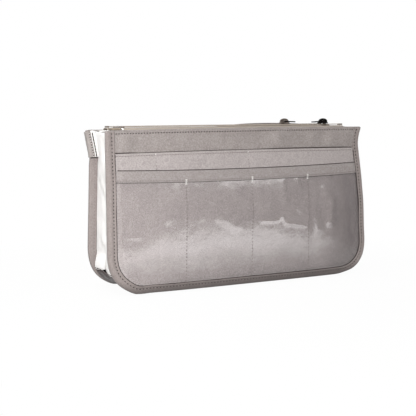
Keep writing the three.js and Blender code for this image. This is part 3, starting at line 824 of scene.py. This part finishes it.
# Where the painted shade line over the slip pocket stands taller
deep_shade_ends = smooth(-LINE, 112, 124) + smooth(LINE, 12, 45)
for half in HALVES:
    mouth_shade_strip(f"{half}_slip_pocket_mouth_shade", half, SLIP_TOP[half] + slip_crown(LINE),
                 slip_depth(half, LINE, SLIP_TOP[half]) + SLIP[1] / 2 + 0.12,
                 0.7 + 0.5 * deep_shade_ends)


# Clear pocket: film and folded band

FILM_TOP = BAND_TOP - 1.4
film_columns = np.unique(np.concatenate([
    np.linspace(a, b, int((b - a) / FINE_STEP)) for a, b in zip(FILM_MARKS, FILM_MARKS[1:])]))
film_rows = row_heights(POCKET_INSET, FILM_TOP, np.arange(CORNER, FILM_TOP, FINE_STEP))
film_x, film_z = panel_grid(POCKET_INSET, FILM_TOP, film_rows, film_columns / POCKET_HALF)
film = cloth("clear_pocket_film_sheet", points_on("front", film_x, film_depth(film_x, film_z), film_z),
             FILM[1], cut=(film_x, film_z))
film.visible_shadow = False
place_piece(film, CLEAR_FILM, ["clear_pocket_film"])

BAND_DROP = 10.6
BAND_BACK, BAND_FRONT = -0.5, -2.1
BAND_PRESSED = 0.16
band_section = spaced(rounded([(BAND_BACK, -BAND_DROP), (BAND_BACK, 0), (BAND_FRONT, 0),
                               (BAND_FRONT, -BAND_DROP)], 0.8, 5), 1.0)
band_grid = points_on("front", film_columns, band_depth(film_columns[None, :], band_section[:, :1]),
                      band_top(film_columns) + band_section[:, 1:])
band = cloth("clear_pocket_band_cloth", band_grid,
             BAND_THICK - (BAND_THICK - BAND_PRESSED) * pressed_at(film_columns))
place_piece(band, SHADED_BAND_CLOTH, ["clear_pocket_band"])
# A thin line of painted shade over the band's top edge
mouth_shade_strip("clear_pocket_mouth_shade", "front", band_top(LINE), band_depth(LINE, -0.3), 0.9)


# Bindings

FLAP_HEIGHTS = {
    "front": (0, BAND_TOP - 4, BAND_TOP + 3, SLIP_TOP["front"] + 2, HEIGHT),
    "rear": (0, SLIP_TOP["rear"] - 2, SLIP_TOP["rear"] + 3, HEIGHT - 4, HEIGHT)}
FLAP_LIFTS = {"front": (1.3, 1.3, 0.9, 0.35, 0.3), "rear": (0.9, 0.9, 0.4, 0.3, 0.3)}
FLAP_INSETS = (8, 7.5, 6.9, 6.2, 5.6, 5.0, 4.4, 3.6, 2.6, 1.7, 1.0)
BACK_INSETS = (2.6, 4.4, 5.0, 5.6, 6.2, 7.2, 8)
BINDING_SHIFT = {"front": 0, "rear": 50}
EDGE_STATIONS = np.linspace(0, EDGE_RUN, 210)
STITCH_INSET = 5.6
FOLD_RADIUS, FOLD_INSET = 1.05, 1.4


def flap_profile(inset, lift, low):
    """Depth of the binding's outer flap: puffed at its edge, pressed where it is stitched, and one
    even slope where low is 1, along the bottom"""
    rise = ((1 - low) * smooth(inset, 0.4, 3.2) + low * np.clip((inset - 0.4) / 7, 0, 1)) * lift
    tilt = 0.06 * np.maximum(inset - 3, 0) * (1 - low)
    dent = 0.3 * np.exp(-((inset - STITCH_INSET) / 0.7) ** 2)
    puff = 0.4 * np.exp(-((inset - 2.6) / 1.5) ** 2) * (1 - low)
    lip = 0.32 * np.exp(-((inset - 7.6) / 0.6) ** 2)
    return 0.35 - rise + tilt + dent - puff - lip


def binding(half):
    """Tape folded round the sewn edge: its outer flap, its fold and its flat back"""
    z = edge_at(EDGE_STATIONS)[1]
    lift = np.interp(z, FLAP_HEIGHTS[half], FLAP_LIFTS[half])
    low = 1 - smooth(z, 1, 12)
    shift = BINDING_SHIFT[half]
    wander = soft_noise(EDGE_STATIONS / 17, 0, 23 + shift) * 0.3
    rows = []
    for inset in FLAP_INSETS:
        fine = soft_noise(EDGE_STATIONS / 5, inset / 5, 31 + shift) * 0.1
        rows.append((inset + wander * inset / 8, flap_profile(inset, lift, low) + fine))
    for angle in np.radians((25, 50, 75)):
        rows.append((FOLD_INSET - FOLD_RADIUS * math.sin(angle), 1.4 - 1.15 * math.cos(angle)))
    rows.append((FOLD_INSET - FOLD_RADIUS, 2.6))
    for angle in np.radians((15, 40, 65, 90)):
        rows.append((FOLD_INSET - FOLD_RADIUS * math.cos(angle),
                     3.8 + FOLD_RADIUS * math.sin(angle)))
    for inset in BACK_INSETS:
        dent = 0.1 * np.exp(-((inset - STITCH_INSET) / 0.8) ** 2)
        rows.append((inset, BINDING_BACK - dent))
    grid = np.stack([round_edge(half, EDGE_STATIONS, *row) for row in rows])
    made = cloth(f"{half}_binding_tape", grid, BINDING_THICK)
    place_piece(made, BINDING_TAPE, [f"{half}_binding"])
    out = np.array(OUT[half])
    face = flap_profile(STITCH_INSET, lift, low) - BINDING_THICK / 2
    back = BINDING_BACK + BINDING_THICK / 2 - 0.1
    for depth, away, hole_shade in ((face, out, needle_hole_shade), (back, -out, faint_hole_shade)):
        path = settled(round_edge(half, EDGE_STATIONS, STITCH_INSET, depth))
        sew_row(path, away, hole_shade=hole_shade)


def seam_shade():
    """A dark line of painted shade in the gap that the front binding's inner edge leaves over the
    pockets
    """
    start = HEIGHT - SLIP_TOP["front"]
    stations = np.linspace(start, EDGE_RUN - start, 240)
    depth = np.interp(edge_at(stations)[1], (BAND_TOP, BAND_TOP + 2), (-0.45, -0.1))
    seam_shades.add_row(settled(round_edge("front", stations, 8.3, depth)), OUT["front"],
                      pitch=4, share=1.12)


for half in HALVES:
    binding(half)
seam_shade()


# Side walls and bottom

WALL_TOP_DROP = 0.5
WALL_INSET = 8.65
CORNER_BULGE = 6.5
REAR_FOLD = 0.8
# Insets of a flange's rows, and how much deeper than the flange each one lies
FLANGE_ROWS = ((1.2, 0), (3.5, 0), (6.0, 0), (7.9, 0.1))
WALL_NEAR, WALL_FAR = WALL_FLANGE + 0.8, DEPTH - WALL_FLANGE - 0.8
BOTTOM_SEAM_ANGLE = 31
SEAM_AT = HEIGHT - CORNER + math.radians(BOTTOM_SEAM_ANGLE) * CORNER
SEAM_SLANT = 4.5


def corner_bulge(stations):
    """How far the walls and the bottom belly out between the bindings, round the bottom corners"""
    past = from_top(stations) - (HEIGHT - CORNER)
    return CORNER_BULGE * smooth(past, 2, 22) * (1 - 0.4 * smooth(past, 60, 110))


def wall_insets(stations, share):
    """How far inside the sewn edge a wall runs; share goes from 0 at the front to 1 at the rear"""
    bulge = corner_bulge(stations) * smooth(share, 0, 0.08) * smooth(1 - share, 0, 0.08)
    over = smooth(share, 0.7, 0.92) * smooth(1 - share, 0.02, 0.06)
    return WALL_INSET - bulge - REAR_FOLD * over * smooth(from_top(stations), 30, 45)


def wall_section(stations, fold, wrinkle, seed):
    """Insets and depths of a wall's rows from the front flange to the rear, with a soft fold inwards"""
    rows = [(inset, WALL_FLANGE + more) for inset, more in FLANGE_ROWS]
    crumpled = wrinkle * (1 + 0.8 * (1 - smooth(edge_at(stations)[1], 30, 90)))
    for share in 0.5 - 0.5 * np.cos(np.linspace(0, math.pi, 34)):
        middle = smooth(share, 0.28, 0.5) * smooth(1 - share, 0.28, 0.5)
        small = soft_noise(stations / 9 + share * 6, share * 5, seed) * crumpled
        broad = soft_noise(stations / 30 + share * 2, share * 3, seed + 1) * crumpled * 1.4
        held = math.sin(math.pi * share) ** 0.5
        inset = wall_insets(stations, share) + fold * middle + (small + broad) * held * (0.35 + middle)
        rows.append((inset, WALL_NEAR + share * (WALL_FAR - WALL_NEAR)))
    return rows + [(inset, DEPTH - WALL_FLANGE - more) for inset, more in FLANGE_ROWS[::-1]]


def slanted(stations, share):
    """Stations of a wall or the bottom, moved so that their seam runs lower at the front"""
    from_end = from_top(stations)
    along = np.where(from_end < SEAM_AT, from_end / SEAM_AT,
                     1 - (from_end - SEAM_AT) / (EDGE_RUN / 2 - SEAM_AT))
    return stations + np.sign(EDGE_RUN / 2 - stations) * along * SEAM_SLANT * (1 - share)


def wall(name, start, end, finish, fold, wrinkle, seed, top_sag=0.0):
    """A side wall or the bottom, from one station of the sewn edge to another"""
    stations = np.linspace(start, end, max(2, int((end - start) / 2.2)))
    rows = []
    for inset, depth in wall_section(stations, fold, wrinkle, seed):
        share = np.clip((depth - WALL_FLANGE) / (DEPTH - 2 * WALL_FLANGE), 0, 1)
        points = round_edge("front", slanted(stations, share), inset, depth)
        sag = WALL_TOP_DROP + top_sag * math.sin(math.pi * share)
        points[:, 2] -= sag * smooth(points[:, 2], HEIGHT - 40, HEIGHT)
        rows.append(points)
    made = cloth(f"{name}_cloth", np.stack(rows), WALL_THICK)
    place_piece(made, finish, [name])
    return made


for side, start, end, seed, top_sag in (("left", 0, SEAM_AT, 61, 1.6),
                                        ("right", EDGE_RUN - SEAM_AT, EDGE_RUN, 71, -1.8)):
    made = wall(f"side_wall_{side}", start, end, WHITE_NYLON, 2.2, 1.2, seed, top_sag)
made = wall("bottom_panel", SEAM_AT + 0.3, EDGE_RUN - SEAM_AT - 0.3, SHADED_BASE_CLOTH,
            0, 0.4, 81)
for seam_at in (SEAM_AT - 1.6, EDGE_RUN - SEAM_AT + 1.6):
    path = [round_edge("front", slanted(seam_at, share), wall_insets(seam_at, share) - 0.4,
                       WALL_NEAR + share * (WALL_FAR - WALL_NEAR))
            for share in np.linspace(0.06, 0.94, 30)]
    _, _, out_x, out_z = edge_at(seam_at)
    sew_row(settled(path), (out_x, 0, out_z))


# Zips

TAPE_STEP = 2.0
TAPE_LOW, TAPE_BEND, TAPE_TOP = 148, 156.5, 158.3
TAPE_BACK, TAPE_FLAT, TAPE_EDGE = 3.9, 5.7, 9.5
TAPE_THICK, TAPE_WIDTH = 0.55, 15.4
END_ROUND = 2.2
COIL_PITCH = 1.5
COIL_RADIUS = 0.52
COIL_HEIGHT = 159.95
COIL_REACH = (7.8, 9.7)


def across_zip(side, depth):
    """The depth on one side of a zip that mirrors a depth on its outer side"""
    return depth if side == "outer" else 2 * ZIP_DEPTH - depth


def zip_tape(half, side):
    """Half of the zip's tape: up behind the panel, over a slant and flat to the coil"""
    section = spaced(rounded([(TAPE_BACK, TAPE_LOW), (TAPE_BACK, TAPE_BEND), (TAPE_FLAT, TAPE_TOP),
                              (TAPE_EDGE, TAPE_TOP)], 1.0), 0.7)
    depth, z = section[:, :1], section[:, 1:]
    x = np.linspace(-TAPE_HALF, TAPE_HALF, int(2 * TAPE_HALF / TAPE_STEP))
    x = np.unique(np.concatenate([x, TAPE_HALF - np.array([0.3, 0.8, 1.4, 2.2, 3.2])]))
    turned = ((x - TAPE_HALF + END_ROUND) / (END_ROUND + 0.1)).clip(0, 1)
    drop = END_ROUND * (1 - np.sqrt(1 - turned ** 2))
    above = smooth(z, 150, TAPE_TOP)
    cord = 0.07 * np.exp(-((depth - 8.9) / 0.35) ** 2)
    ripple = soft_noise(x / 12, 0, 91) * 0.12 * above * (1 - smooth(depth, TAPE_FLAT, TAPE_EDGE))
    grid = points_on(half, x, across_zip(side, depth) + ripple, z - drop * above + cord)
    made = cloth(f"{half}_zip_tape_{side}_cloth", grid, TAPE_THICK, settle=False)
    place_piece(made, ZIP_TAPE, [f"{half}_zip_tape_{side}"])


def zip_coil(half, side):
    """One side of the coil: loops of nylon that reach almost to the middle"""
    start = -COIL_HALF + 0.6 + (0 if side == "outer" else COIL_PITCH / 2)
    x = np.arange(start, COIL_HALF - 0.6, COIL_PITCH)
    starts, ends = (points_on(half, x, across_zip(side, depth), COIL_HEIGHT)
                    for depth in COIL_REACH)
    made = capsules(f"{half}_zip_coil_{side}_loops", starts, ends, (0, 0, 1), COIL_RADIUS)
    place_piece(made, COIL_NYLON, [f"{half}_zip_coil_{side}"])


for half in HALVES:
    for side in ("outer", "inner"):
        zip_tape(half, side)
        zip_coil(half, side)


def pressed_pad(name, low, high, droop=0.0):
    """Tape folded over itself and pressed into a small block with rounded edges; its right end
    droops"""
    thick = high[2] - low[2]
    margin = min(thick / 2 * 0.8, (high[0] - low[0]) / 2 - 0.2)
    x = np.linspace(low[0] + margin, high[0] - margin, 14)
    y = np.linspace(low[1] + margin, high[1] - margin, 18)
    x, y = np.meshgrid(x, y)
    from_rim = np.minimum(np.minimum(x - low[0], high[0] - x), np.minimum(y - low[1], high[1] - y))
    crumple = soft_noise(x / 4, y / 4, 95) * 0.1
    middle = (low[2] + high[2]) / 2 + crumple - droop * smooth(x, high[0] - 5, high[0]) ** 2
    thickness = (thick - 0.2) * (0.7 + 0.3 * smooth(from_rim - margin, 0, 1.4))
    return cloth(name, np.stack([x, y, middle], axis=-1), thickness, settle=False)


def end_tab(half, outward, finish, droop):
    """A short tape folded over the end of the zip and sewn across"""
    low, high = node_box(f"{half}_zip_end_tab")
    made = pressed_pad(f"{half}_zip_end_tape", low, high, droop)
    place_piece(made, finish, [f"{half}_zip_end_tab"])
    inner = high[0] if outward < 0 else low[0]
    for x in (inner + outward * 1.8, (low[0] + high[0]) / 2):
        path = [(x, low[1] + 1.6, high[2] - 0.1), (x, high[1] - 1.6, high[2] - 0.1)]
        sew_row(path, (0, 0, 1), 2.4)


def end_edging(half):
    """The white edge of the lining that shows beside the left end of the zip"""
    low, high = node_box(f"{half}_zip_end_tab")
    made = pressed_pad(f"{half}_zip_end_edging", (high[0] + 0.2, low[1], low[2]),
                       (high[0] + 1.2, high[1], high[2] + 0.1))
    place_piece(made, WHITE_NYLON)


end_tab("front", -1, TAN_TAPE, 0)
end_edging("front")
end_tab("rear", 1, BEIGE_TAPE, 2.2)


# Tabs folded over the rear binding

TAB_HEIGHT, TAB_WIDTH, TAB_THICK = 27, 23.4, 0.8
TAB_TOP = HEIGHT + 0.8
TAB_LEAN = {"left": 0.4, "right": 3}
TAB_SEAM = (6.3, 5.1)
TAB_SLANT = 2.5
TAB_BACK, TAB_FRONT, TAB_FOLD, TAB_REACH = -0.9, 6.1, -0.7, 7.8
# Insets of the lining's rows from its seam, and their depths; the last one is at a fixed inset
TAB_LINING_STEPS = (-1.2, -0.9, -0.4, 0, 0.6)
TAB_LINING_END = 8.4
TAB_LINING_DEPTHS = (6.75, 6.95, 7.0, 7.0, 7.0, 7.1)


def tab_edge(side, outward, shares):
    """X of the outer edge and Z of a tab, for shares of its height from 0 at its foot to 1"""
    lean = TAB_LEAN[side] * shares ** 1.3
    return outward * (HALF_LENGTH + lean), TAB_TOP - TAB_HEIGHT * (1 - shares)


def edge_tab(side, outward):
    """Tape folded round the top of the rear binding, leaning outwards, with its seams"""
    section = spaced(rounded([(TAB_REACH, TAB_BACK), (TAB_FOLD, TAB_BACK), (TAB_FOLD, TAB_FRONT),
                              (TAB_REACH, TAB_FRONT)], 1.3, 4), 0.7)
    inset, depth = section[:, :1], section[:, 1:]
    shares = np.unique(np.concatenate([np.linspace(0, 1, 22), (0.02, 0.98)]))
    edge, z = tab_edge(side, outward, shares)
    wander = soft_noise(shares * 3, 0, 97) * 0.3
    puff = soft_noise(inset / 5, shares * 4, 98) * 0.15
    across = 1 - (inset - TAB_FOLD) / (TAB_REACH - TAB_FOLD)
    grid = points_on("rear", edge - outward * (inset - wander), depth + puff,
                     z - TAB_SLANT * across * shares)
    made = cloth(f"edge_tab_{side}_tape", grid, TAB_THICK)
    place_piece(made, TAB_TAPE, [f"edge_tab_{side}"])
    for start, deep, half in ((6.0, -1.35, "rear"), (3.4, 6.55, "front")):
        seam = on_bag("rear", edge - outward * (start - 1.2 * shares), deep, z)
        sew_row(seam, OUT[half], 2.6, tab_stitches)
    # A dark line of painted shade along the tab's foot
    foot = on_bag("rear", outward * (HALF_LENGTH - np.linspace(0, 8.2, 5)), 6.5, z[0] - 0.5)
    tab_shade_lines.add_row(foot, OUT["front"], pitch=4, share=1.1)


def tab_lining(side, outward):
    """The tab's white inner layer along its edge, sewn to the side wall, with a dark line of painted
    shade along the seam
    """
    shares = np.linspace(0.02, 0.97, 14)
    edge, z = tab_edge(side, outward, shares)
    seam = np.interp(shares, (0, 1), TAB_SEAM)
    insets = np.column_stack([*(seam + step for step in TAB_LINING_STEPS),
                              np.full(len(seam), TAB_LINING_END)])
    grid = points_on("rear", edge[:, None] - outward * insets, np.array(TAB_LINING_DEPTHS),
                     z[:, None])
    place_piece(cloth(f"edge_tab_{side}_lining", grid, 0.4), WHITE_NYLON)
    tab_shade_lines.add_row(on_bag("rear", edge - outward * seam, 7.3, z), OUT["front"], pitch=3, share=1.1)


for side, outward in (("left", -1), ("right", 1)):
    edge_tab(side, outward)
    tab_lining(side, outward)


# Stitching on the panels and pockets

ON_TOP = 0.05
TOP_PITCH, POCKET_PITCH = 2.9, 2.7
FILM_SEAM_LEAN = 2.8
BAND_FOOT = BAND_TOP - BAND_DROP

for half in HALVES:
    z = HEIGHT - PANEL_HEM
    depth = panel_depth(LINE + NOISE_SHIFT[half], z) - PANEL[1] / 2 - ON_TOP
    sew_row(on_bag(half, LINE, depth, z + top_crown(half)(LINE)), OUT[half], TOP_PITCH)
for half, low in (("front", BAND_TOP + 1), ("rear", 9)):
    top = SLIP_TOP[half]
    z = top - SLIP_HEM
    depth = slip_depth(half, LINE, z) - SLIP[1] / 2 - ON_TOP
    sew_row(on_bag(half, LINE, depth, z + slip_crown(LINE)), OUT[half], POCKET_PITCH,
            hole_shade=faint_hole_shade)
    for seam in SLIP_SEAMS:
        z = np.linspace(low, top - 3, 30)
        depth = slip_depth(half, seam, z) - SLIP[1] / 2 - ON_TOP
        faint_hole_shade.add_row(on_bag(half, seam, depth, z), OUT[half], share=0.4)
        z = np.linspace(top - 1.6, top + 1.2, 4)
        depth = slip_depth(half, seam, z) - SLIP[1] / 2 - 0.2
        tacks.add_row(on_bag(half, seam, depth, z), OUT[half], pitch=1.5, share=0.9)
foot = band_top(LINE) - BAND_DROP
depth = band_depth(LINE, BAND_FRONT - BAND_THICK / 2 - ON_TOP)
sew_row(on_bag("front", LINE, depth, foot + 1.6), OUT["front"], POCKET_PITCH, hole_shade=faint_hole_shade)
# A dark line of painted shadow under the band's lower edge
band_shadow_lines.add_row(on_bag("front", LINE, band_depth(LINE, -1.9), foot - 0.35), OUT["front"],
                   pitch=4, share=1.12)
for seam in FILM_SEAMS:
    z = np.linspace(9, BAND_FOOT - 2, 60)
    leaning = seam - FILM_SEAM_LEAN * (1 - z / BAND_TOP)
    depth = film_depth(leaning, z) - FILM[1] / 2 - ON_TOP
    film_hole_shade.add_row(on_bag("front", leaning, depth, z), OUT["front"], share=0.45)
    for off in (-0.5, 0.5):
        z = np.linspace(BAND_FOOT - 3.2, BAND_FOOT + 2.4, 5)
        depth = np.interp(z, (BAND_FOOT - 1, BAND_FOOT), (-1.7, -2.6))
        tacks.add_row(on_bag("front", seam + off, depth, z), OUT["front"], pitch=1.4, share=0.9)

for sewing in SEWINGS:
    sewing.make()


# Sliders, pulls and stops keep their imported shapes, with softened edges

SOFT_EDGES = {"slider": 0.18, "pull": 0.25, "stop_left": 0.35, "stop_right": 0.35}
SLIDER_METAL = {"front": DARK_METAL, "rear": PALE_METAL}
for half in HALVES:
    finishes = {"slider": SLIDER_METAL[half], "pull": DARK_METAL}
    for part, width in SOFT_EDGES.items():
        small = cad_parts[f"{half}_zip_{part}"]
        small.data.materials.clear()
        small.data.materials.append(finishes.get(part, STOP_NYLON))
        edge = small.modifiers.new("soft_edges", "BEVEL")
        edge.width = width * MM
        edge.segments = 2
        edge.limit_method = "ANGLE"
        edge.angle_limit = math.radians(35)

BAIL_RISE = 3.1
EYE_REACH, EYE_TOP, EYE_FOOT = 3.9, 1.8, 1.3
EYE_HOLE = 0.85
EYE_HALF_WIDTH = 0.7
EYE_POINTS = 40


def slider_eye(half):
    """The slider's cast eye: it fills the arch over the plate round the hole that the pull turns in"""
    low, high = node_box(f"{half}_zip_slider")
    centre = np.array([(low[0] + high[0]) / 2, (low[1] + high[1]) / 2, high[2] - BAIL_RISE])
    turn = np.linspace(0, 2 * math.pi, EYE_POINTS, endpoint=False)
    ahead, up = np.cos(turn), np.sin(turn)
    square = np.minimum(EYE_REACH / np.maximum(np.abs(ahead), 1e-6),
                        EYE_FOOT / np.maximum(-up, 1e-6))
    outer_x = np.where(up > 0, EYE_REACH, square) * ahead
    outer_z = np.where(up > 0, EYE_TOP, square) * up
    loops = []
    for y in (-EYE_HALF_WIDTH, EYE_HALF_WIDTH):
        loops.append(np.column_stack([outer_x, np.full(EYE_POINTS, y), outer_z]))
        loops.append(np.column_stack([EYE_HOLE * ahead, np.full(EYE_POINTS, y), EYE_HOLE * up]))
    faces = []
    for i in range(EYE_POINTS):
        j = (i + 1) % EYE_POINTS
        for first, second in ((0, 1), (1, 3), (3, 2), (2, 0)):
            a, b = first * EYE_POINTS, second * EYE_POINTS
            faces.append((a + i, a + j, b + j, b + i))
    made = make_mesh(f"{half}_zip_slider_eye", centre + np.vstack(loops), faces)
    made.data.shade_flat()
    place_piece(made, SLIDER_METAL[half], body=f"{half}_slider")


for half in HALVES:
    slider_eye(half)


# Floor, light and camera

def studio_white(node):
    """1 for rays that show the background: from the camera, in gloss and through film"""
    rays = node("LightPath").node.outputs
    shown = node("Math", {0: rays["Is Camera Ray"], 1: rays["Is Glossy Ray"]}, operation="MAXIMUM")
    return node("Math", {0: shown, 1: rays["Is Transmission Ray"]}, operation="MAXIMUM")


FLOOR_SIDES, FLOOR_RADIUS, FLOOR_DROP = 96, 3000, 0.4


def studio_floor():
    """Matt white paper, plain white further out. It takes the bag's soft shadow and throws little
    light up under the bag. In gloss it shows a painted shadow: dim close to the bag and bright further
    out in front."""
    finish, node = new_finish("white_paper")
    place = node("TexCoord", out="Object")
    rays = node("LightPath").node.outputs
    away = node("VectorMath", {0: place}, "Value", operation="LENGTH")
    far = node("MapRange", {"Value": away, "From Min": 0.16, "From Max": 0.4,
                            "To Min": 0.965, "To Max": 1.0})
    plain = node("Math", {0: studio_white(node), 1: far}, operation="MULTIPLY")
    tone = node("Mix", {"Factor": rays["Is Diffuse Ray"], "A": colour("#F6F5F4"),
                        "B": colour("#76716F")}, "Result", data_type="RGBA")
    paper = node("BsdfDiffuse", {"Color": tone})
    # Painted shadow of the bag on the floor, seen only in gloss
    ahead = node("VectorMath", {0: place, 1: (-0.15, -1, 0)}, "Value", operation="DOT_PRODUCT")
    painted_gloss_shadow = node("MapRange", {"Value": ahead, "From Min": 0.12, "From Max": 0.27,
                               "To Min": 0.92, "To Max": 0.0})
    gloss_shadow_share = node("Math", {0: painted_gloss_shadow, 1: rays["Is Glossy Ray"]}, operation="MULTIPLY")
    strength = node("Math", {0: 1.0, 1: gloss_shadow_share}, operation="SUBTRACT")
    white = node("Emission", {"Color": (1, 1, 1, 1), "Strength": strength})
    node("OutputMaterial", {"Surface": node("MixShader", {0: plain, 1: paper, 2: white})})
    steps = np.linspace(0, 2 * math.pi, FLOOR_SIDES, endpoint=False)
    rim = FLOOR_RADIUS * np.column_stack([np.cos(steps), np.sin(steps), 0 * steps])
    floor = make_mesh("floor", np.vstack([rim, (0, 0, 0)]),
                      [(i, (i + 1) % FLOOR_SIDES, FLOOR_SIDES) for i in range(FLOOR_SIDES)])
    floor.data.materials.append(finish)
    floor.location.z = -FLOOR_DROP * MM


CARD_LINE = ((-420, -150, 0), (-290, -215, 0), (-150, -270, 0), (-100, -305, 9), (-60, -330, 10),
             (15, -375, 8), (80, -405, 6), (200, -425, 0), (240, -410, 0), (245, -345, 0),
             (245, -285, 0), (260, -230, 0), (300, -150, 0), (305, -65, 0))
CARD_HEIGHT = 190


def studio_card():
    """A curved dark card in front of the bag that only gloss shows, as a photographer's flag does.
    CARD_LINE is where its lower edge runs, measured from the bag's front face and the floor."""
    finish, node = new_finish("dark_card")
    face = node("Emission", {"Color": colour("#454243"), "Strength": 1.0})
    node("OutputMaterial", {"Surface": face})
    foot = spaced(rounded(np.array(CARD_LINE) + (0, FRONT_FACE, 0), 12, 4), 10)
    count = len(foot)
    card = make_mesh("card", np.vstack([foot, foot + (0, 0, CARD_HEIGHT)]),
                     [(i, i + 1, i + 1 + count, i + count) for i in range(count - 1)])
    card.data.materials.append(finish)
    for kind in ("camera", "diffuse", "shadow", "transmission", "volume_scatter"):
        setattr(card, f"visible_{kind}", False)


def soft_lamp(name, at, aim, size, power):
    """A soft lamp that leaves no glare in the film, as the dark card stands between them"""
    lamp = bpy.data.lights.new(name, "AREA")
    lamp.shape = "RECTANGLE"
    lamp.size, lamp.size_y = size
    lamp.energy = power
    made = bpy.data.objects.new(name, lamp)
    made.location = at
    toward = (Vector(aim) - Vector(at)).to_track_quat("-Z", "Y")
    made.rotation_euler = toward.to_euler()
    made.visible_glossy = False
    bpy.context.scene.collection.objects.link(made)


studio_floor()
studio_card()
soft_lamp("key", (-0.44, -0.5, 0.09), (-0.05, 0, 0.03), (0.42, 0.2), 4.2)
soft_lamp("fill", (0.62, -0.45, 0.16), (0.05, 0, 0.08), (0.25, 0.3), 1.1)
soft_lamp("side", (-1.2, 0.1, 0.4), (-0.1, 0, 0.08), (0.5, 0.5), 0.9)
soft_lamp("rear", (0.25, 0.95, 0.12), (0, 0, 0.08), (0.6, 0.4), 4.5)
soft_lamp("edge", (0.7, -0.14, 0.14), (0.145, 0, 0.08), (0.2, 0.3), 0.9)
soft_lamp("top", (-0.27, 0.0, 0.5), (-0.08, 0, 0.15), (0.24, 0.24), 1.15)

world = bpy.data.worlds.new("studio")
world.use_nodes = True
world.node_tree.nodes.clear()
node = partial(add_node, world.node_tree)
light = node("Background", {"Color": colour("#F6F3F1"), "Strength": 0.32})
shown = node("Background", {"Color": (1, 1, 1, 1), "Strength": 1.0})
node("OutputWorld", {"Surface": node("MixShader", {0: studio_white(node), 1: light, 2: shown})})
bpy.context.scene.world = world
bpy.context.scene.view_settings.view_transform = "Standard"

CAMERA_AT = (-0.4435, FRONT_FACE * MM - 0.80175, 0.1719)
CAMERA_YAW, CAMERA_DROP, CAMERA_ROLL = -26.768, 5.923, -0.413
camera_data = bpy.data.cameras.new("camera")
camera_data.sensor_width = 36
camera_data.lens = 78.646
camera = bpy.data.objects.new("camera", camera_data)
camera.matrix_world = (Matrix.Translation(CAMERA_AT)
                       @ Matrix.Rotation(math.radians(CAMERA_YAW), 4, "Z")
                       @ Matrix.Rotation(math.radians(90 - CAMERA_DROP), 4, "X")
                       @ Matrix.Rotation(math.radians(CAMERA_ROLL), 4, "Z"))
bpy.context.scene.collection.objects.link(camera)
bpy.context.scene.camera = camera
